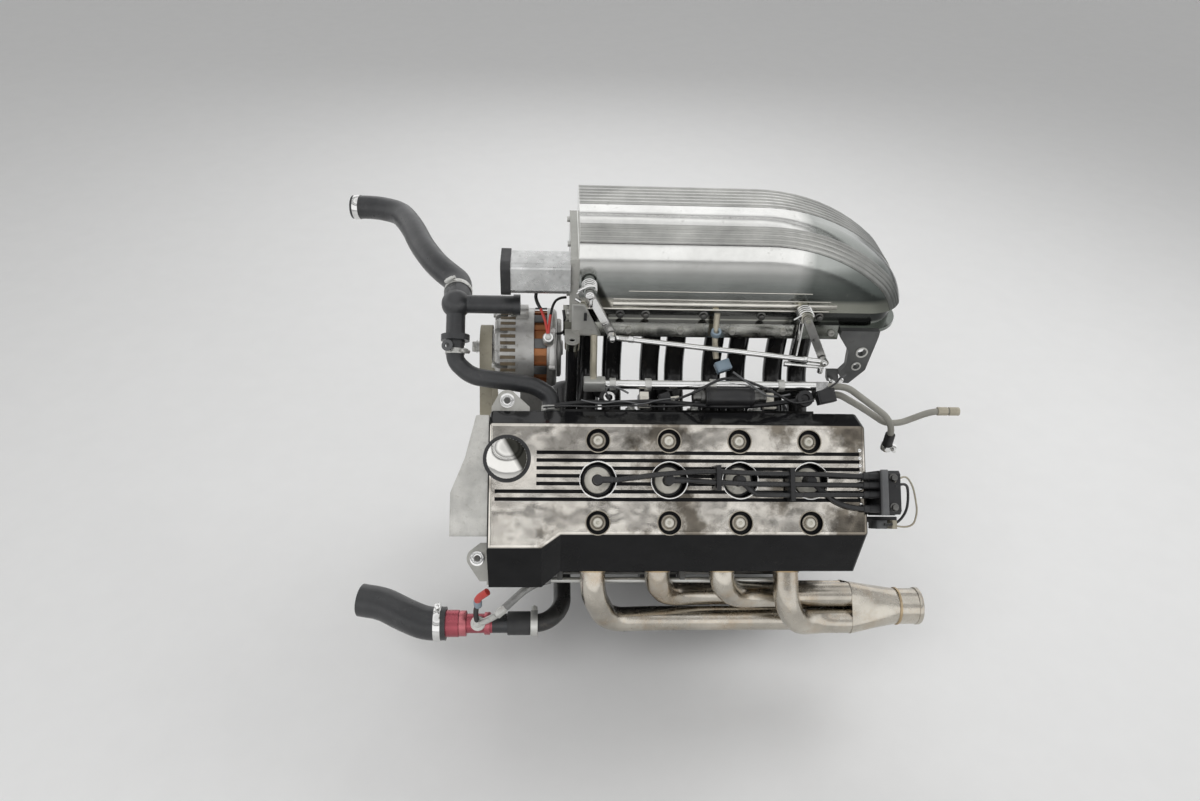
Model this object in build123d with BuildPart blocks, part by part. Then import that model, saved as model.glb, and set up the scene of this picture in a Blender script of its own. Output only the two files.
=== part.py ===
from build123d import *

import os
from math import asin, cos, degrees, radians, sin

os.makedirs("parts", exist_ok=True)

# Driving sizes, millimetres. The crankshaft lies along X, with the block's rear face at X = 0.
# In the bank's own plane, x runs along the crank, v across to the intake side and w up the bores.
bank_lean = 45.0
cylinder_count = 4
bore_spacing = 98.0
rear_cylinder_x = -82.0
running_clearance = 0.03
free_clearance = 0.3

# Block, sump and head
front_cylinder_x = rear_cylinder_x - bore_spacing * (cylinder_count - 1)
block_front_margin = 124.0
block_length = block_front_margin - front_cylinder_x
block_front_x = -block_length
block_half_width = 84.0
crankcase_half_width = 112.0
rail_w = -60.0
crankcase_side = 70.0
crankcase_shoulder_w = 60.0
deck_w = 215.0
crank_radius = 32.0
bell_flange_radius = 165.0
bell_flange_thickness = 18.0
bell_bolt_circle = 300.0
bell_bolt_count = 6
bell_bolt_hole = 5.5
rib_places = [-60.0, -131.0, -180.0, -340.0]
rib_thickness = 9.0
deck_rib_front_x = block_front_x + 60.0
rib_depth = 8.0
rib_end_gap = 8.0
sump_floor_z = -190.0
sump_shallow_z = -118.0
sump_near_y = -25.0
sump_far_y = 95.0
sump_far_flare = 30.0
sump_deep_length = 270.0
sump_edge_radius = 14.0
sump_rim = 7.0
head_rear_x = -6.0
head_top_w = 350.0
head_flare = 30.0
head_lip = 12.0
head_lip_slope = 20.0
head_lip_inset = 2.0
head_exhaust_v = 105.0
head_intake_v = 100.0

# Cam cover
timing_cover_thickness = 18.0
timing_cover_front_x = block_front_x - timing_cover_thickness
cover_overhang = 8.0
cover_front_x = timing_cover_front_x - cover_overhang
cover_rear_x = -2.0
cover_skirt = 18.0
cover_rise = 62.0
cover_lip_w = head_top_w + cover_skirt
cover_top_w = cover_lip_w + cover_rise
cover_edge_radius = 6.0
cover_far_skirt = 48.0
cover_top_near_v = 73.0
cover_top_far_v = 76.0
cover_lip_near_v = 127.0
cover_lip_far_v = 97.0
bulge_length = 74.0
bulge_extra = 22.0
bulge_top_extra = 18.0
bulge_taper = 26.0
bolt_row_far_v = 54.0
bolt_row_near_v = 58.0
bolt_well_radius = 16.0
bolt_well_depth = 9.0
plug_well_radius = 24.0
plug_well_depth = 30.0
groove_count = 7
groove_pitch = 10.6
groove_width = 5.0
groove_depth = 2.0
groove_far_v = 37.0
groove_end_gap = 10.0
groove_cap_gap = 3.0
cap_x = cover_front_x + 26.0
cap_v = 28.0
cap_radius = 27.0
cap_boss_radius = 37.0
cap_boss_height = 3.0
cap_rim_height = 7.0
cap_dome_height = 9.0

# Ignition
boot_radius = 6.5
boot_arm_radius = 4.5
boot_arm_length = 20.0
boot_arm_turns = [-42.0, -42.0, 0.0, 0.0]
seal_radius = 21.0
seal_height = 12.0
lead_radius = 3.5
lead_straight = 8.0
lead_low_w = cover_top_w + 4.5
lead_high_w = cover_top_w + 14.0
tower_w = cover_top_w + 10.0
boot_top_w = lead_low_w + boot_arm_radius + 0.5
coil_front_x = 10.0
coil_length = 28.0
coil_near_v = -46.0
coil_far_v = 14.0
coil_bottom_w = tower_w - 62.0
coil_top_w = tower_w + 8.0
coil_edge = 5.0
tower_radius = 5.5
tower_length = 14.0
coil_arm_v = -16.0
coil_arm_width = 44.0
coil_arm_thickness = 8.0
coil_arm_height = 50.0

# Front end and belt drive
timing_half_width = 100.0
timing_waist = 5.0
timing_waist_w = 60.0
shaft_hole_gap = 4.0
front_casting_reach = 51.0
front_casting_step = 18.0
front_casting_brow = 32.0
front_casting_far_v = 88.0
front_casting_brow_v = 30.0
front_casting_nose_v = -18.0
front_casting_near_v = -77.0
front_casting_depth = 50.0
front_casting_bottom_w = head_top_w - front_casting_depth
front_casting_top_w = cover_top_w - 5.0
front_casting_edge_radius = 7.0
front_casting_foot_inset = 12.5
belt_reach = 34.0
belt_front_x = timing_cover_front_x - belt_reach
belt_width = 19.0
belt_thickness = 5.0
crank_pulley_radius = 75.0
pump_v = 30.0
pump_w = 170.0
pump_pulley_radius = 55.0
pump_housing_radius = 50.0
pump_housing_length = 10.0
pump_housing_front_x = timing_cover_front_x - pump_housing_length
alternator_v = 215.0
alternator_w = 255.0
alternator_radius = 62.0
alternator_length = 95.0
alternator_front_x = pump_housing_front_x
alternator_rear_x = alternator_front_x + alternator_length
alternator_pulley_radius = 29.0
alternator_cover_length = 60.0
alternator_cap_length = 15.0
alternator_core_radius = 50.0
alternator_slot_count = 14
alternator_slot_height = 14.0
alternator_slot_width = 9.0
alternator_slot_depth = 20.0
alternator_slot_inset = 6.0
alternator_edge_radius = 9.0
alternator_window_count = 9
alternator_window_height = 9.0
alternator_window_width = 14.0
winding_inset = 4.0
alternator_ear_start = 33.0
alternator_ear_thickness = 18.0
alternator_ear_rise = 66.0
alternator_ear_radius = 11.0
pulley_shaft_radius = 8.5
pulley_rim = 11.0
pulley_recess = 7.0
shaft_end_reach = 6.0
crank_snout_radius = 20.0
flywheel_radius = 142.0
flywheel_front_x = 12.0
flywheel_thickness = 24.0
clutch_bolt_circle = 240.0
clutch_bolt_count = 6
clutch_bolt_hole = 4.2

# Intake
port_drop = 78.0
port_w = head_top_w - port_drop
port_shift = 9.0
runner_half_pitch = 19.5
runner_radius = 15.0
runner_bend_share = 0.35
runner_y = -62.0
intake_flange_height = 50.0
intake_flange_thickness = 12.0
intake_flange_end = 4.0
stay_foot_rise = 5.0
lug_drop = 5.0
plenum_near_y = -85.0
plenum_far_y = 95.0
plenum_bottom_z = 410.0
plenum_top_z = 569.0
plenum_front_x = block_front_x + 97.0
nose_start_x = -135.0
nose_top_radius = 297.0
nose_end_radius = 112.0
nose_turn = 40.0
near_roll_radius = 58.0
far_roll_radius = 45.0
plenum_foot_height = 30.0
plenum_foot_inset = 10.0
plenum_flange_above = 9.0
plenum_flange_thickness = 25.0
plenum_flange_near_y = -86.0
plenum_flange_far_y = -40.0
plenum_flange_front_x = plenum_front_x - 21.0
plenum_flange_rear_x = -8.0
end_plate_thickness = 12.0
end_plate_near_y = -86.0
end_plate_far_y = 70.0
end_plate_bottom_z = 419.0
end_plate_top_z = 522.0
lug_radius = 11.0
lug_hole_radius = 4.0
lug_thickness = 12.0
lug_y = -117.0
lug_root_y = -80.0
duct_length = 97.0
duct_front_x = plenum_front_x - duct_length
duct_near_y = -95.0
duct_far_y = -45.0
duct_bottom_z = 468.0
duct_top_z = 516.0
duct_wall = 4.0
duct_edge_radius = 8.0
duct_bore_edge_radius = 5.0
boot_lip = 3.0
boot_end_length = 14.0
stay_x = plenum_front_x - 8.0
stay_radius = 9.0
rail_v = 141.0
rail_rise = 96.0
rail_height_w = port_w + rail_rise
rail_radius = 7.0
rail_overhang = 20.0
rail_block_length = 18.0
rail_block_width = 12.0
rail_block_drop = 6.0
injector_radius = 9.0
damper_radius = 14.0
damper_length = 70.0
damper_x = -183.0
damper_seat = damper_radius + rail_radius + free_clearance
damper_angle = 28.0
damper_w = rail_height_w + damper_seat * sin(radians(damper_angle))
damper_v = rail_v - damper_seat * cos(radians(damper_angle))

# Throttle linkage, a parallelogram on the plenum's near side
front_pivot_x = plenum_front_x + 15.0
front_pivot_z = 485.0
lever_dx = 34.0
lever_dz = -66.0
rear_pivot_x = -70.0
rear_pivot_z = 447.0
lever_y = -118.0
lever_thickness = 5.0
lever_width = 12.0
rod_pin_radius = 2.5
rod_radius = 4.0
rod_eye_thickness = 9.0
rod_eye_wall = 4.0
rod_eye_play = 0.5
rod_pin_length = 10.0
rod_y = -127.0
pivot_pin_radius = 4.0

# Exhaust
exhaust_port_drop = 62.0
exhaust_port_w = head_top_w - exhaust_port_drop
header_flange_thickness = 10.0
header_tube_radius = 19.0
collector_front_x = 30.0
collector_length = 80.0
collector_outlet_radius = 28.0
collector_outlet_length = 40.0
collector_bore_radius = 26.0

# Planes: the leaning bank, and sections across it with v to the right and w up
lean_sin = sin(radians(bank_lean))
lean_cos = cos(radians(bank_lean))
BANK = Plane(origin=(0, 0, 0), x_dir=(1, 0, 0), z_dir=(0, -lean_sin, lean_cos))
ACROSS = Plane(origin=(0, 0, 0), x_dir=(0, lean_cos, lean_sin), z_dir=(1, 0, 0))
SIDE = Plane(origin=(0, 0, 0), x_dir=(1, 0, 0), z_dir=(0, -lean_cos, -lean_sin))
cylinders = [rear_cylinder_x - bore_spacing * k for k in range(cylinder_count)]
ports = [x + port_shift for x in cylinders]
front_casting_front_x = cover_front_x - front_casting_reach


def row_y(v, w):
    return v * lean_cos - w * lean_sin


def row_z(v, w):
    return v * lean_sin + w * lean_cos


def bank_v(y, z):
    return y * lean_cos + z * lean_sin


def bank_w(y, z):
    return z * lean_cos - y * lean_sin


def edge_v(edge):
    return bank_v(edge.center().Y, edge.center().Z)


def edge_w(edge):
    return bank_w(edge.center().Y, edge.center().Z)


def add_tube(plane, route, radii, outer_radius, bore_radius=0.0):
    # A tube of straight runs joined by tangent arcs, placed in the given plane's coordinates
    with BuildLine(plane) as centre_line:
        FilletPolyline(*route, radius=radii)
    start = Plane(origin=centre_line.line @ 0, z_dir=centre_line.line % 0)
    with BuildSketch(start) as section:
        Circle(outer_radius)
        if bore_radius:
            Circle(bore_radius, mode=Mode.SUBTRACT)
    sweep(section.sketch, path=centre_line.line)


def bend_radii(route, share=0.45):
    # Each arc is as large as its two runs allow
    radii = []
    for before, here, after in zip(route, route[1:], route[2:]):
        run_in = Vector(*here) - Vector(*before)
        run_out = Vector(*after) - Vector(*here)
        half_turn = radians(run_in.get_angle(run_out)) / 2
        shorter = min(run_in.length, run_out.length)
        radii.append(share * shorter * cos(half_turn) / sin(half_turn))
    return radii


def finish(piece, name):
    piece.part.label = name
    export_step(piece.part, f"parts/{name}.step")


# Block with its bell housing flange
with BuildPart() as block:
    with BuildSketch(ACROSS.offset(block_front_x)):
        with BuildLine():
            Polyline(
                (-crankcase_half_width, rail_w),
                (crankcase_half_width, rail_w),
                (crankcase_half_width, rail_w + crankcase_side),
                (block_half_width, crankcase_shoulder_w),
                (block_half_width, deck_w),
                (-block_half_width, deck_w),
                (-block_half_width, crankcase_shoulder_w),
                (-crankcase_half_width, rail_w + crankcase_side),
                close=True,
            )
        make_face()
    extrude(amount=block_length)
    with BuildSketch(ACROSS.offset(-bell_flange_thickness)):
        Circle(bell_flange_radius)
    extrude(amount=bell_flange_thickness)
    with BuildSketch(ACROSS.offset(-bell_flange_thickness)):
        with PolarLocations(bell_bolt_circle / 2, bell_bolt_count, start_angle=90):
            Circle(bell_bolt_hole)
    extrude(amount=bell_flange_thickness, mode=Mode.SUBTRACT)
    rib_middle_w = (crankcase_shoulder_w + deck_w) / 2
    for side in (-1, 1):
        with BuildSketch(SIDE.offset(-side * block_half_width)):
            with Locations([(x, rib_middle_w) for x in rib_places]):
                Rectangle(rib_thickness, deck_w - crankcase_shoulder_w - 2 * rib_end_gap)
            with Locations(((deck_rib_front_x - bell_flange_thickness) / 2, deck_w - rib_thickness / 2)):
                Rectangle(-bell_flange_thickness - deck_rib_front_x, rib_thickness)
        extrude(amount=-side * rib_depth)
    with BuildSketch(ACROSS.offset(block_front_x)):
        Circle(crank_radius + running_clearance)
    extrude(amount=block_length, mode=Mode.SUBTRACT)
finish(block, "block")

# Sump, which hangs plumb under the leaning crankcase, deeper at the rear
sump_length = block_length - bell_flange_thickness
sump_depths = [
    ("front", block_front_x, sump_length, sump_shallow_z),
    ("rear", -bell_flange_thickness - sump_deep_length, sump_deep_length, sump_floor_z),
]
with BuildPart() as oil_pan:
    for place, start_x, length, floor_z in sump_depths:
        with BuildSketch(Plane.YZ.offset(start_x)):
            with BuildLine():
                Polyline(
                    (row_y(-crankcase_half_width, rail_w), row_z(-crankcase_half_width, rail_w)),
                    (row_y(crankcase_half_width, rail_w), row_z(crankcase_half_width, rail_w)),
                    (sump_far_y + sump_far_flare, (sump_shallow_z + row_z(crankcase_half_width, rail_w)) / 2),
                    (sump_far_y, floor_z),
                    (sump_near_y, floor_z),
                    close=True,
                )
            make_face()
        extrude(amount=length)
    fillet(oil_pan.faces().sort_by(Axis.Z)[0].edges(), radius=sump_edge_radius)
    with BuildSketch(BANK.offset(rail_w)):
        with Locations((block_front_x + sump_length / 2, 0)):
            Rectangle(sump_length, 2 * (crankcase_half_width + sump_rim))
    extrude(amount=-sump_rim)
finish(oil_pan, "oil_pan")

with BuildPart() as cylinder_head:
    with BuildSketch(ACROSS.offset(block_front_x)):
        with BuildLine():
            Polyline(
                (-block_half_width, deck_w),
                (block_half_width, deck_w),
                (head_intake_v, deck_w + head_flare),
                (head_intake_v, head_top_w),
                (-cover_lip_near_v + head_lip_inset, head_top_w),
                (-cover_lip_near_v + head_lip_inset, head_top_w - head_lip),
                (-head_exhaust_v, head_top_w - head_lip - head_lip_slope),
                (-head_exhaust_v, deck_w + head_flare),
                close=True,
            )
        make_face()
    extrude(amount=block_length + head_rear_x)
finish(cylinder_head, "cylinder_head")

# The cover's front bulge, which tapers into the near flank
bulge_rear_x = cover_front_x + bulge_length
bulge_spans = [
    (cover_front_x, (bulge_extra, bulge_top_extra), bulge_rear_x, (bulge_extra, bulge_top_extra)),
    (bulge_rear_x, (bulge_extra, bulge_top_extra), bulge_rear_x + bulge_taper, (0.0, 0.0)),
]
with BuildPart() as cover_bulge:
    for start_x, start_extra, end_x, end_extra in bulge_spans:
        for place_x, (lip_extra, top_extra) in ((start_x, start_extra), (end_x, end_extra)):
            with BuildSketch(ACROSS.offset(place_x)):
                with BuildLine():
                    Polyline(
                        (-cover_lip_near_v - lip_extra, head_top_w),
                        (-cover_lip_near_v - lip_extra, cover_lip_w),
                        (-cover_top_near_v - top_extra, cover_top_w),
                        (0, cover_top_w),
                        (0, head_top_w),
                        close=True,
                    )
                make_face()
        loft(ruled=True)
    bulge_top_edges = [edge for edge in cover_bulge.edges() if edge_w(edge) > cover_top_w - 1]
    bulge_near_edges = [edge for edge in bulge_top_edges if edge_v(edge) < -cover_top_near_v]
    bulge_front_edges = [edge for edge in bulge_top_edges if edge.center().X < cover_front_x + 1]
    fillet(list(dict.fromkeys(bulge_near_edges + bulge_front_edges)), radius=cover_edge_radius)

# Cam cover with its wells, grooves and the filler boss
cover_length = cover_rear_x - cover_front_x
UP_BANK = Axis((0, 0, 0), (0, -lean_sin, lean_cos))
with BuildPart() as cam_cover:
    with BuildSketch(ACROSS.offset(cover_front_x)):
        with BuildLine():
            Polyline(
                (-cover_lip_near_v, head_top_w),
                (-cover_lip_near_v, cover_lip_w),
                (-cover_top_near_v, cover_top_w),
                (cover_top_far_v, cover_top_w),
                (cover_lip_far_v, head_top_w + cover_far_skirt),
                (cover_lip_far_v, head_top_w),
                close=True,
            )
        make_face()
    extrude(amount=cover_length)
    end_edges = cam_cover.faces().sort_by(Axis.X)[0].edges() + cam_cover.faces().sort_by(Axis.X)[-1].edges()
    top_edges = cam_cover.faces().sort_by(UP_BANK)[-1].edges()
    soft_edges = [edge for edge in end_edges + top_edges if edge_w(edge) > cover_lip_w + 1]
    fillet(list(dict.fromkeys(soft_edges)), radius=cover_edge_radius)
    add(cover_bulge.part)
    with BuildSketch(BANK.offset(cover_top_w)):
        with Locations((cap_x, cap_v)):
            Circle(cap_boss_radius)
        with Locations((cover_front_x + cover_edge_radius - cap_boss_radius, cap_v)):
            Rectangle(2 * cap_boss_radius, 4 * cap_boss_radius, mode=Mode.SUBTRACT)
    extrude(amount=cap_boss_height)
    with BuildSketch(BANK.offset(cover_top_w - groove_depth)):
        for n in range(groove_count):
            groove_v = groove_far_v - groove_pitch * n
            groove_start = cover_front_x + groove_end_gap
            if abs(groove_v - cap_v) < cap_boss_radius:
                groove_start = cap_x + cap_boss_radius + groove_cap_gap
            groove_end = cover_rear_x - groove_end_gap
            with Locations(((groove_start + groove_end) / 2, groove_v)):
                Rectangle(groove_end - groove_start, groove_width)
    extrude(amount=groove_depth, mode=Mode.SUBTRACT)
    with BuildSketch(BANK.offset(cover_top_w)):
        with Locations([(x, 0) for x in cylinders]):
            Circle(plug_well_radius)
    extrude(amount=-plug_well_depth, mode=Mode.SUBTRACT)
    with BuildSketch(BANK.offset(cover_top_w)):
        with Locations([(x, bolt_row_far_v) for x in cylinders]):
            Circle(bolt_well_radius)
        with Locations([(x, -bolt_row_near_v) for x in cylinders]):
            Circle(bolt_well_radius)
    extrude(amount=-bolt_well_depth, mode=Mode.SUBTRACT)
finish(cam_cover, "cam_cover")

# Filler cap: a low rim under a dome
cap_bottom_w = cover_top_w + cap_boss_height
dome_radius = (cap_radius**2 + cap_dome_height**2) / (2 * cap_dome_height)
cap_axis = Axis((cap_x, row_y(cap_v, 0), row_z(cap_v, 0)), (0, -lean_sin, lean_cos))
with BuildPart() as oil_filler_cap:
    with BuildSketch(SIDE.offset(-cap_v)):
        with BuildLine():
            Polyline(
                (cap_x, cap_bottom_w + cap_rim_height + cap_dome_height),
                (cap_x, cap_bottom_w),
                (cap_x + cap_radius, cap_bottom_w),
                (cap_x + cap_radius, cap_bottom_w + cap_rim_height),
            )
            RadiusArc(
                (cap_x, cap_bottom_w + cap_rim_height + cap_dome_height),
                (cap_x + cap_radius, cap_bottom_w + cap_rim_height),
                dome_radius,
            )
        make_face()
    revolve(axis=cap_axis)
finish(oil_filler_cap, "oil_filler_cap")

# Rubber seals and boots in the plug wells, each boot with an arm for its lead
boot_arms = list(zip(cylinders, boot_arm_turns))
with BuildPart() as plug_boots:
    with BuildSketch(BANK.offset(cover_top_w - plug_well_depth)):
        with Locations([(x, 0) for x in cylinders]):
            Circle(seal_radius)
    extrude(amount=seal_height)
    with BuildSketch(BANK.offset(cover_top_w - plug_well_depth + seal_height)):
        with Locations([(x, 0) for x in cylinders]):
            Circle(boot_radius)
    extrude(amount=boot_top_w - cover_top_w + plug_well_depth - seal_height)
    for x, turn in boot_arms:
        arm_start = (x, row_y(0, lead_low_w), row_z(0, lead_low_w))
        arm_way = (cos(radians(turn)), sin(radians(turn)) * lean_cos, sin(radians(turn)) * lean_sin)
        with BuildSketch(Plane(origin=arm_start, z_dir=arm_way)):
            Circle(boot_arm_radius)
        extrude(amount=boot_arm_length)
finish(plug_boots, "plug_boots")

# Coil pack on an arm from the head's rear face, its towers facing forward
tower_places = [-38.0, -19.0, -6.0, 6.0]
coil_arm_low_w = head_top_w - coil_arm_thickness - coil_arm_height / 2
with BuildPart() as ignition_coil:
    with BuildSketch(ACROSS.offset(coil_front_x)):
        with BuildLine():
            Polyline(
                (coil_near_v, coil_bottom_w),
                (coil_far_v, coil_bottom_w),
                (coil_far_v, coil_top_w - coil_edge),
                (coil_far_v - coil_edge, coil_top_w),
                (coil_near_v + coil_edge, coil_top_w),
                (coil_near_v, coil_top_w - coil_edge),
                close=True,
            )
        make_face()
    extrude(amount=coil_length)
    with BuildSketch(ACROSS.offset(coil_front_x)):
        with Locations([(v, tower_w) for v in tower_places]):
            Circle(tower_radius)
    extrude(amount=-tower_length)
    with BuildSketch(ACROSS.offset(head_rear_x)):
        with Locations((coil_arm_v, coil_arm_low_w + coil_arm_thickness / 2)):
            Rectangle(coil_arm_width, coil_arm_height)
    extrude(amount=coil_arm_thickness)
    with BuildSketch(ACROSS.offset(coil_front_x)):
        with Locations((coil_arm_v, (coil_arm_low_w + coil_bottom_w) / 2)):
            Rectangle(coil_arm_width, coil_bottom_w - coil_arm_low_w)
    extrude(amount=coil_arm_thickness)
    with BuildSketch(ACROSS.offset(head_rear_x)):
        with Locations((coil_arm_v, coil_arm_low_w + coil_arm_thickness / 2)):
            Rectangle(coil_arm_width, coil_arm_thickness)
    extrude(amount=coil_front_x - head_rear_x + coil_arm_thickness)
finish(ignition_coil, "ignition_coil")

# Plug leads, from each boot's arm to its tower; those from the front pass over the boots behind.
# Each lane is the lead's way on from its own cylinder, as (x, v, w)
lead_lanes = [
    [(32, -28, lead_low_w), (48, -35, lead_low_w + 2), (66, -38, tower_w)],
    [(54, -20, lead_high_w), (120, -19, lead_high_w), (160, -19, tower_w)],
    [(44, -2, lead_high_w), (101, -5, lead_high_w), (218, -6, lead_high_w), (258, -6, tower_w)],
    [
        (86, 8, lead_high_w),
        (152, 12, lead_high_w),
        (216, 9, lead_high_w),
        (316, 8, lead_high_w),
        (356, 6, tower_w),
    ],
]
with BuildPart() as plug_leads:
    for (x, turn), lane, tower_v in zip(boot_arms, lead_lanes, tower_places):
        route = []
        for reach in (boot_arm_length, boot_arm_length + lead_straight):
            route.append((x + reach * cos(radians(turn)), reach * sin(radians(turn)), lead_low_w))
        route += [(x + run_x, run_v, run_w) for run_x, run_v, run_w in lane]
        route.append((coil_front_x - tower_length, tower_v, tower_w))
        add_tube(BANK, route, bend_radii(route), lead_radius)
finish(plug_leads, "plug_leads")

# Two combs that hold the leads on the cover
comb_places = [("front", -213.0, -14.0, 20.0), ("rear", -112.0, -28.0, 17.0)]
comb_thickness = 6.0
comb_wall = 3.0
comb_play = 1.0
comb_top_w = lead_high_w + lead_radius + comb_play + comb_wall
with BuildPart() as lead_combs:
    for place, comb_x, near_v, far_v in comb_places:
        with BuildSketch(ACROSS.offset(comb_x - comb_thickness / 2)):
            with Locations(((near_v + far_v) / 2, (cover_top_w + comb_top_w) / 2)):
                Rectangle(far_v - near_v, comb_top_w - cover_top_w)
            with Locations(((near_v + far_v) / 2, lead_high_w)):
                Rectangle(far_v - near_v - 2 * comb_wall, 2 * (lead_radius + comb_play), mode=Mode.SUBTRACT)
        extrude(amount=comb_thickness)
finish(lead_combs, "lead_combs")

# Lower timing cover, and the bare sand casting in front of the head
with BuildPart() as timing_cover:
    with BuildSketch(ACROSS.offset(timing_cover_front_x)):
        with BuildLine():
            Polyline(
                (-timing_half_width, rail_w),
                (timing_half_width, rail_w),
                (timing_half_width - timing_waist, timing_waist_w),
                (timing_half_width - timing_waist, head_top_w),
                (-timing_half_width + timing_waist, head_top_w),
                (-timing_half_width + timing_waist, timing_waist_w),
                close=True,
            )
        make_face()
        Circle(crank_snout_radius + shaft_hole_gap, mode=Mode.SUBTRACT)
        with Locations((pump_v, pump_w)):
            Circle(pulley_shaft_radius + shaft_hole_gap, mode=Mode.SUBTRACT)
    extrude(amount=block_front_x - timing_cover_front_x)
finish(timing_cover, "timing_cover")

with BuildPart() as front_casting:
    with BuildSketch(BANK.offset(front_casting_bottom_w)):
        with BuildLine():
            Polyline(
                (cover_front_x, front_casting_far_v),
                (cover_front_x - front_casting_step, front_casting_far_v),
                (cover_front_x - front_casting_brow, front_casting_brow_v),
                (front_casting_front_x, front_casting_nose_v),
                (front_casting_front_x, front_casting_near_v),
                (cover_front_x, front_casting_near_v),
                close=True,
            )
        make_face()
    extrude(amount=front_casting_top_w - front_casting_bottom_w)
    soft_edges = front_casting.faces().sort_by(UP_BANK)[-1].edges().sort_by(Axis.X)[:4]
    fillet(soft_edges, radius=front_casting_edge_radius)
    foot_width = front_casting_far_v - front_casting_near_v - 2 * front_casting_foot_inset
    with BuildSketch(ACROSS.offset(cover_front_x)):
        with Locations((0, (front_casting_bottom_w + head_top_w) / 2)):
            Rectangle(foot_width, head_top_w - front_casting_bottom_w)
    extrude(amount=timing_cover_front_x - cover_front_x)
finish(front_casting, "front_casting")

# Crankshaft with its nose, pulley and flywheel
with BuildPart() as crankshaft:
    with BuildSketch(ACROSS.offset(block_front_x)):
        Circle(crank_radius)
    extrude(amount=block_length + flywheel_front_x)
    with BuildSketch(ACROSS.offset(block_front_x)):
        Circle(crank_snout_radius)
    extrude(amount=belt_front_x - shaft_end_reach - block_front_x)
finish(crankshaft, "crankshaft")

with BuildPart() as crank_pulley:
    with BuildSketch(ACROSS.offset(belt_front_x)):
        Circle(crank_pulley_radius)
        Circle(crank_snout_radius, mode=Mode.SUBTRACT)
    extrude(amount=belt_width)
    with BuildSketch(ACROSS.offset(belt_front_x)):
        Circle(crank_pulley_radius - pulley_rim)
        Circle(crank_snout_radius + pulley_rim, mode=Mode.SUBTRACT)
    extrude(amount=pulley_recess, mode=Mode.SUBTRACT)
finish(crank_pulley, "crank_pulley")

with BuildPart() as flywheel:
    with BuildSketch(ACROSS.offset(flywheel_front_x)):
        Circle(flywheel_radius)
    extrude(amount=flywheel_thickness)
    with BuildSketch(ACROSS.offset(flywheel_front_x)):
        with PolarLocations(clutch_bolt_circle / 2, clutch_bolt_count, start_angle=90):
            Circle(clutch_bolt_hole)
    extrude(amount=flywheel_thickness, mode=Mode.SUBTRACT)
finish(flywheel, "flywheel")

# Water pump and its pulley on a shaft
with BuildPart() as water_pump:
    with BuildSketch(ACROSS.offset(pump_housing_front_x)):
        with Locations((pump_v, pump_w)):
            Circle(pump_housing_radius)
            Circle(pulley_shaft_radius + running_clearance, mode=Mode.SUBTRACT)
    extrude(amount=timing_cover_front_x - pump_housing_front_x)
finish(water_pump, "water_pump")

with BuildPart() as pump_pulley:
    with BuildSketch(ACROSS.offset(belt_front_x)):
        with Locations((pump_v, pump_w)):
            Circle(pump_pulley_radius)
    extrude(amount=belt_width)
    with BuildSketch(ACROSS.offset(belt_front_x)):
        with Locations((pump_v, pump_w)):
            Circle(pump_pulley_radius - pulley_rim)
            Circle(pulley_shaft_radius + pulley_rim, mode=Mode.SUBTRACT)
    extrude(amount=pulley_recess, mode=Mode.SUBTRACT)
    with BuildSketch(ACROSS.offset(belt_front_x - shaft_end_reach)):
        with Locations((pump_v, pump_w)):
            Circle(pulley_shaft_radius)
    extrude(amount=block_front_x - belt_front_x)
finish(pump_pulley, "pump_pulley")

# Alternator with cooling slots, windows onto its windings and an ear for its strap
shaft_depth = 30.0
alternator_y = row_y(alternator_v, alternator_w)
alternator_z = row_z(alternator_v, alternator_w)
windows_front_x = alternator_front_x + alternator_cover_length
windows_rear_x = alternator_rear_x - alternator_cap_length
with BuildPart() as alternator:
    with BuildSketch(ACROSS.offset(alternator_front_x)):
        with Locations((alternator_v, alternator_w)):
            Circle(alternator_radius)
    extrude(amount=alternator_rear_x - alternator_front_x)
    fillet(alternator.edges().filter_by(GeomType.CIRCLE), radius=alternator_edge_radius)
    with BuildSketch(ACROSS.offset(windows_front_x)):
        with Locations((alternator_v, alternator_w)):
            Circle(alternator_radius)
            Circle(alternator_core_radius, mode=Mode.SUBTRACT)
    extrude(amount=windows_rear_x - windows_front_x, mode=Mode.SUBTRACT)
    with BuildSketch(ACROSS.offset(alternator_front_x)):
        with Locations((alternator_v, alternator_w)):
            with PolarLocations(alternator_radius - alternator_slot_inset, alternator_slot_count):
                Rectangle(alternator_slot_height, alternator_slot_width)
    extrude(amount=alternator_slot_depth, mode=Mode.SUBTRACT)
    with BuildSketch(Plane.YZ.offset(alternator_front_x + alternator_ear_start)):
        with Locations((alternator_y, alternator_z + alternator_ear_rise)):
            Circle(alternator_ear_radius)
        with Locations((alternator_y, alternator_z + alternator_ear_rise / 2)):
            Rectangle(2 * alternator_ear_radius, alternator_ear_rise)
        with Locations((alternator_y, alternator_z + alternator_ear_rise)):
            Circle(alternator_ear_radius / 2, mode=Mode.SUBTRACT)
    extrude(amount=alternator_ear_thickness)
    with BuildSketch(ACROSS.offset(alternator_front_x)):
        with Locations((alternator_v, alternator_w)):
            Circle(pulley_shaft_radius + running_clearance)
    extrude(amount=shaft_depth, mode=Mode.SUBTRACT)
finish(alternator, "alternator")

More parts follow.
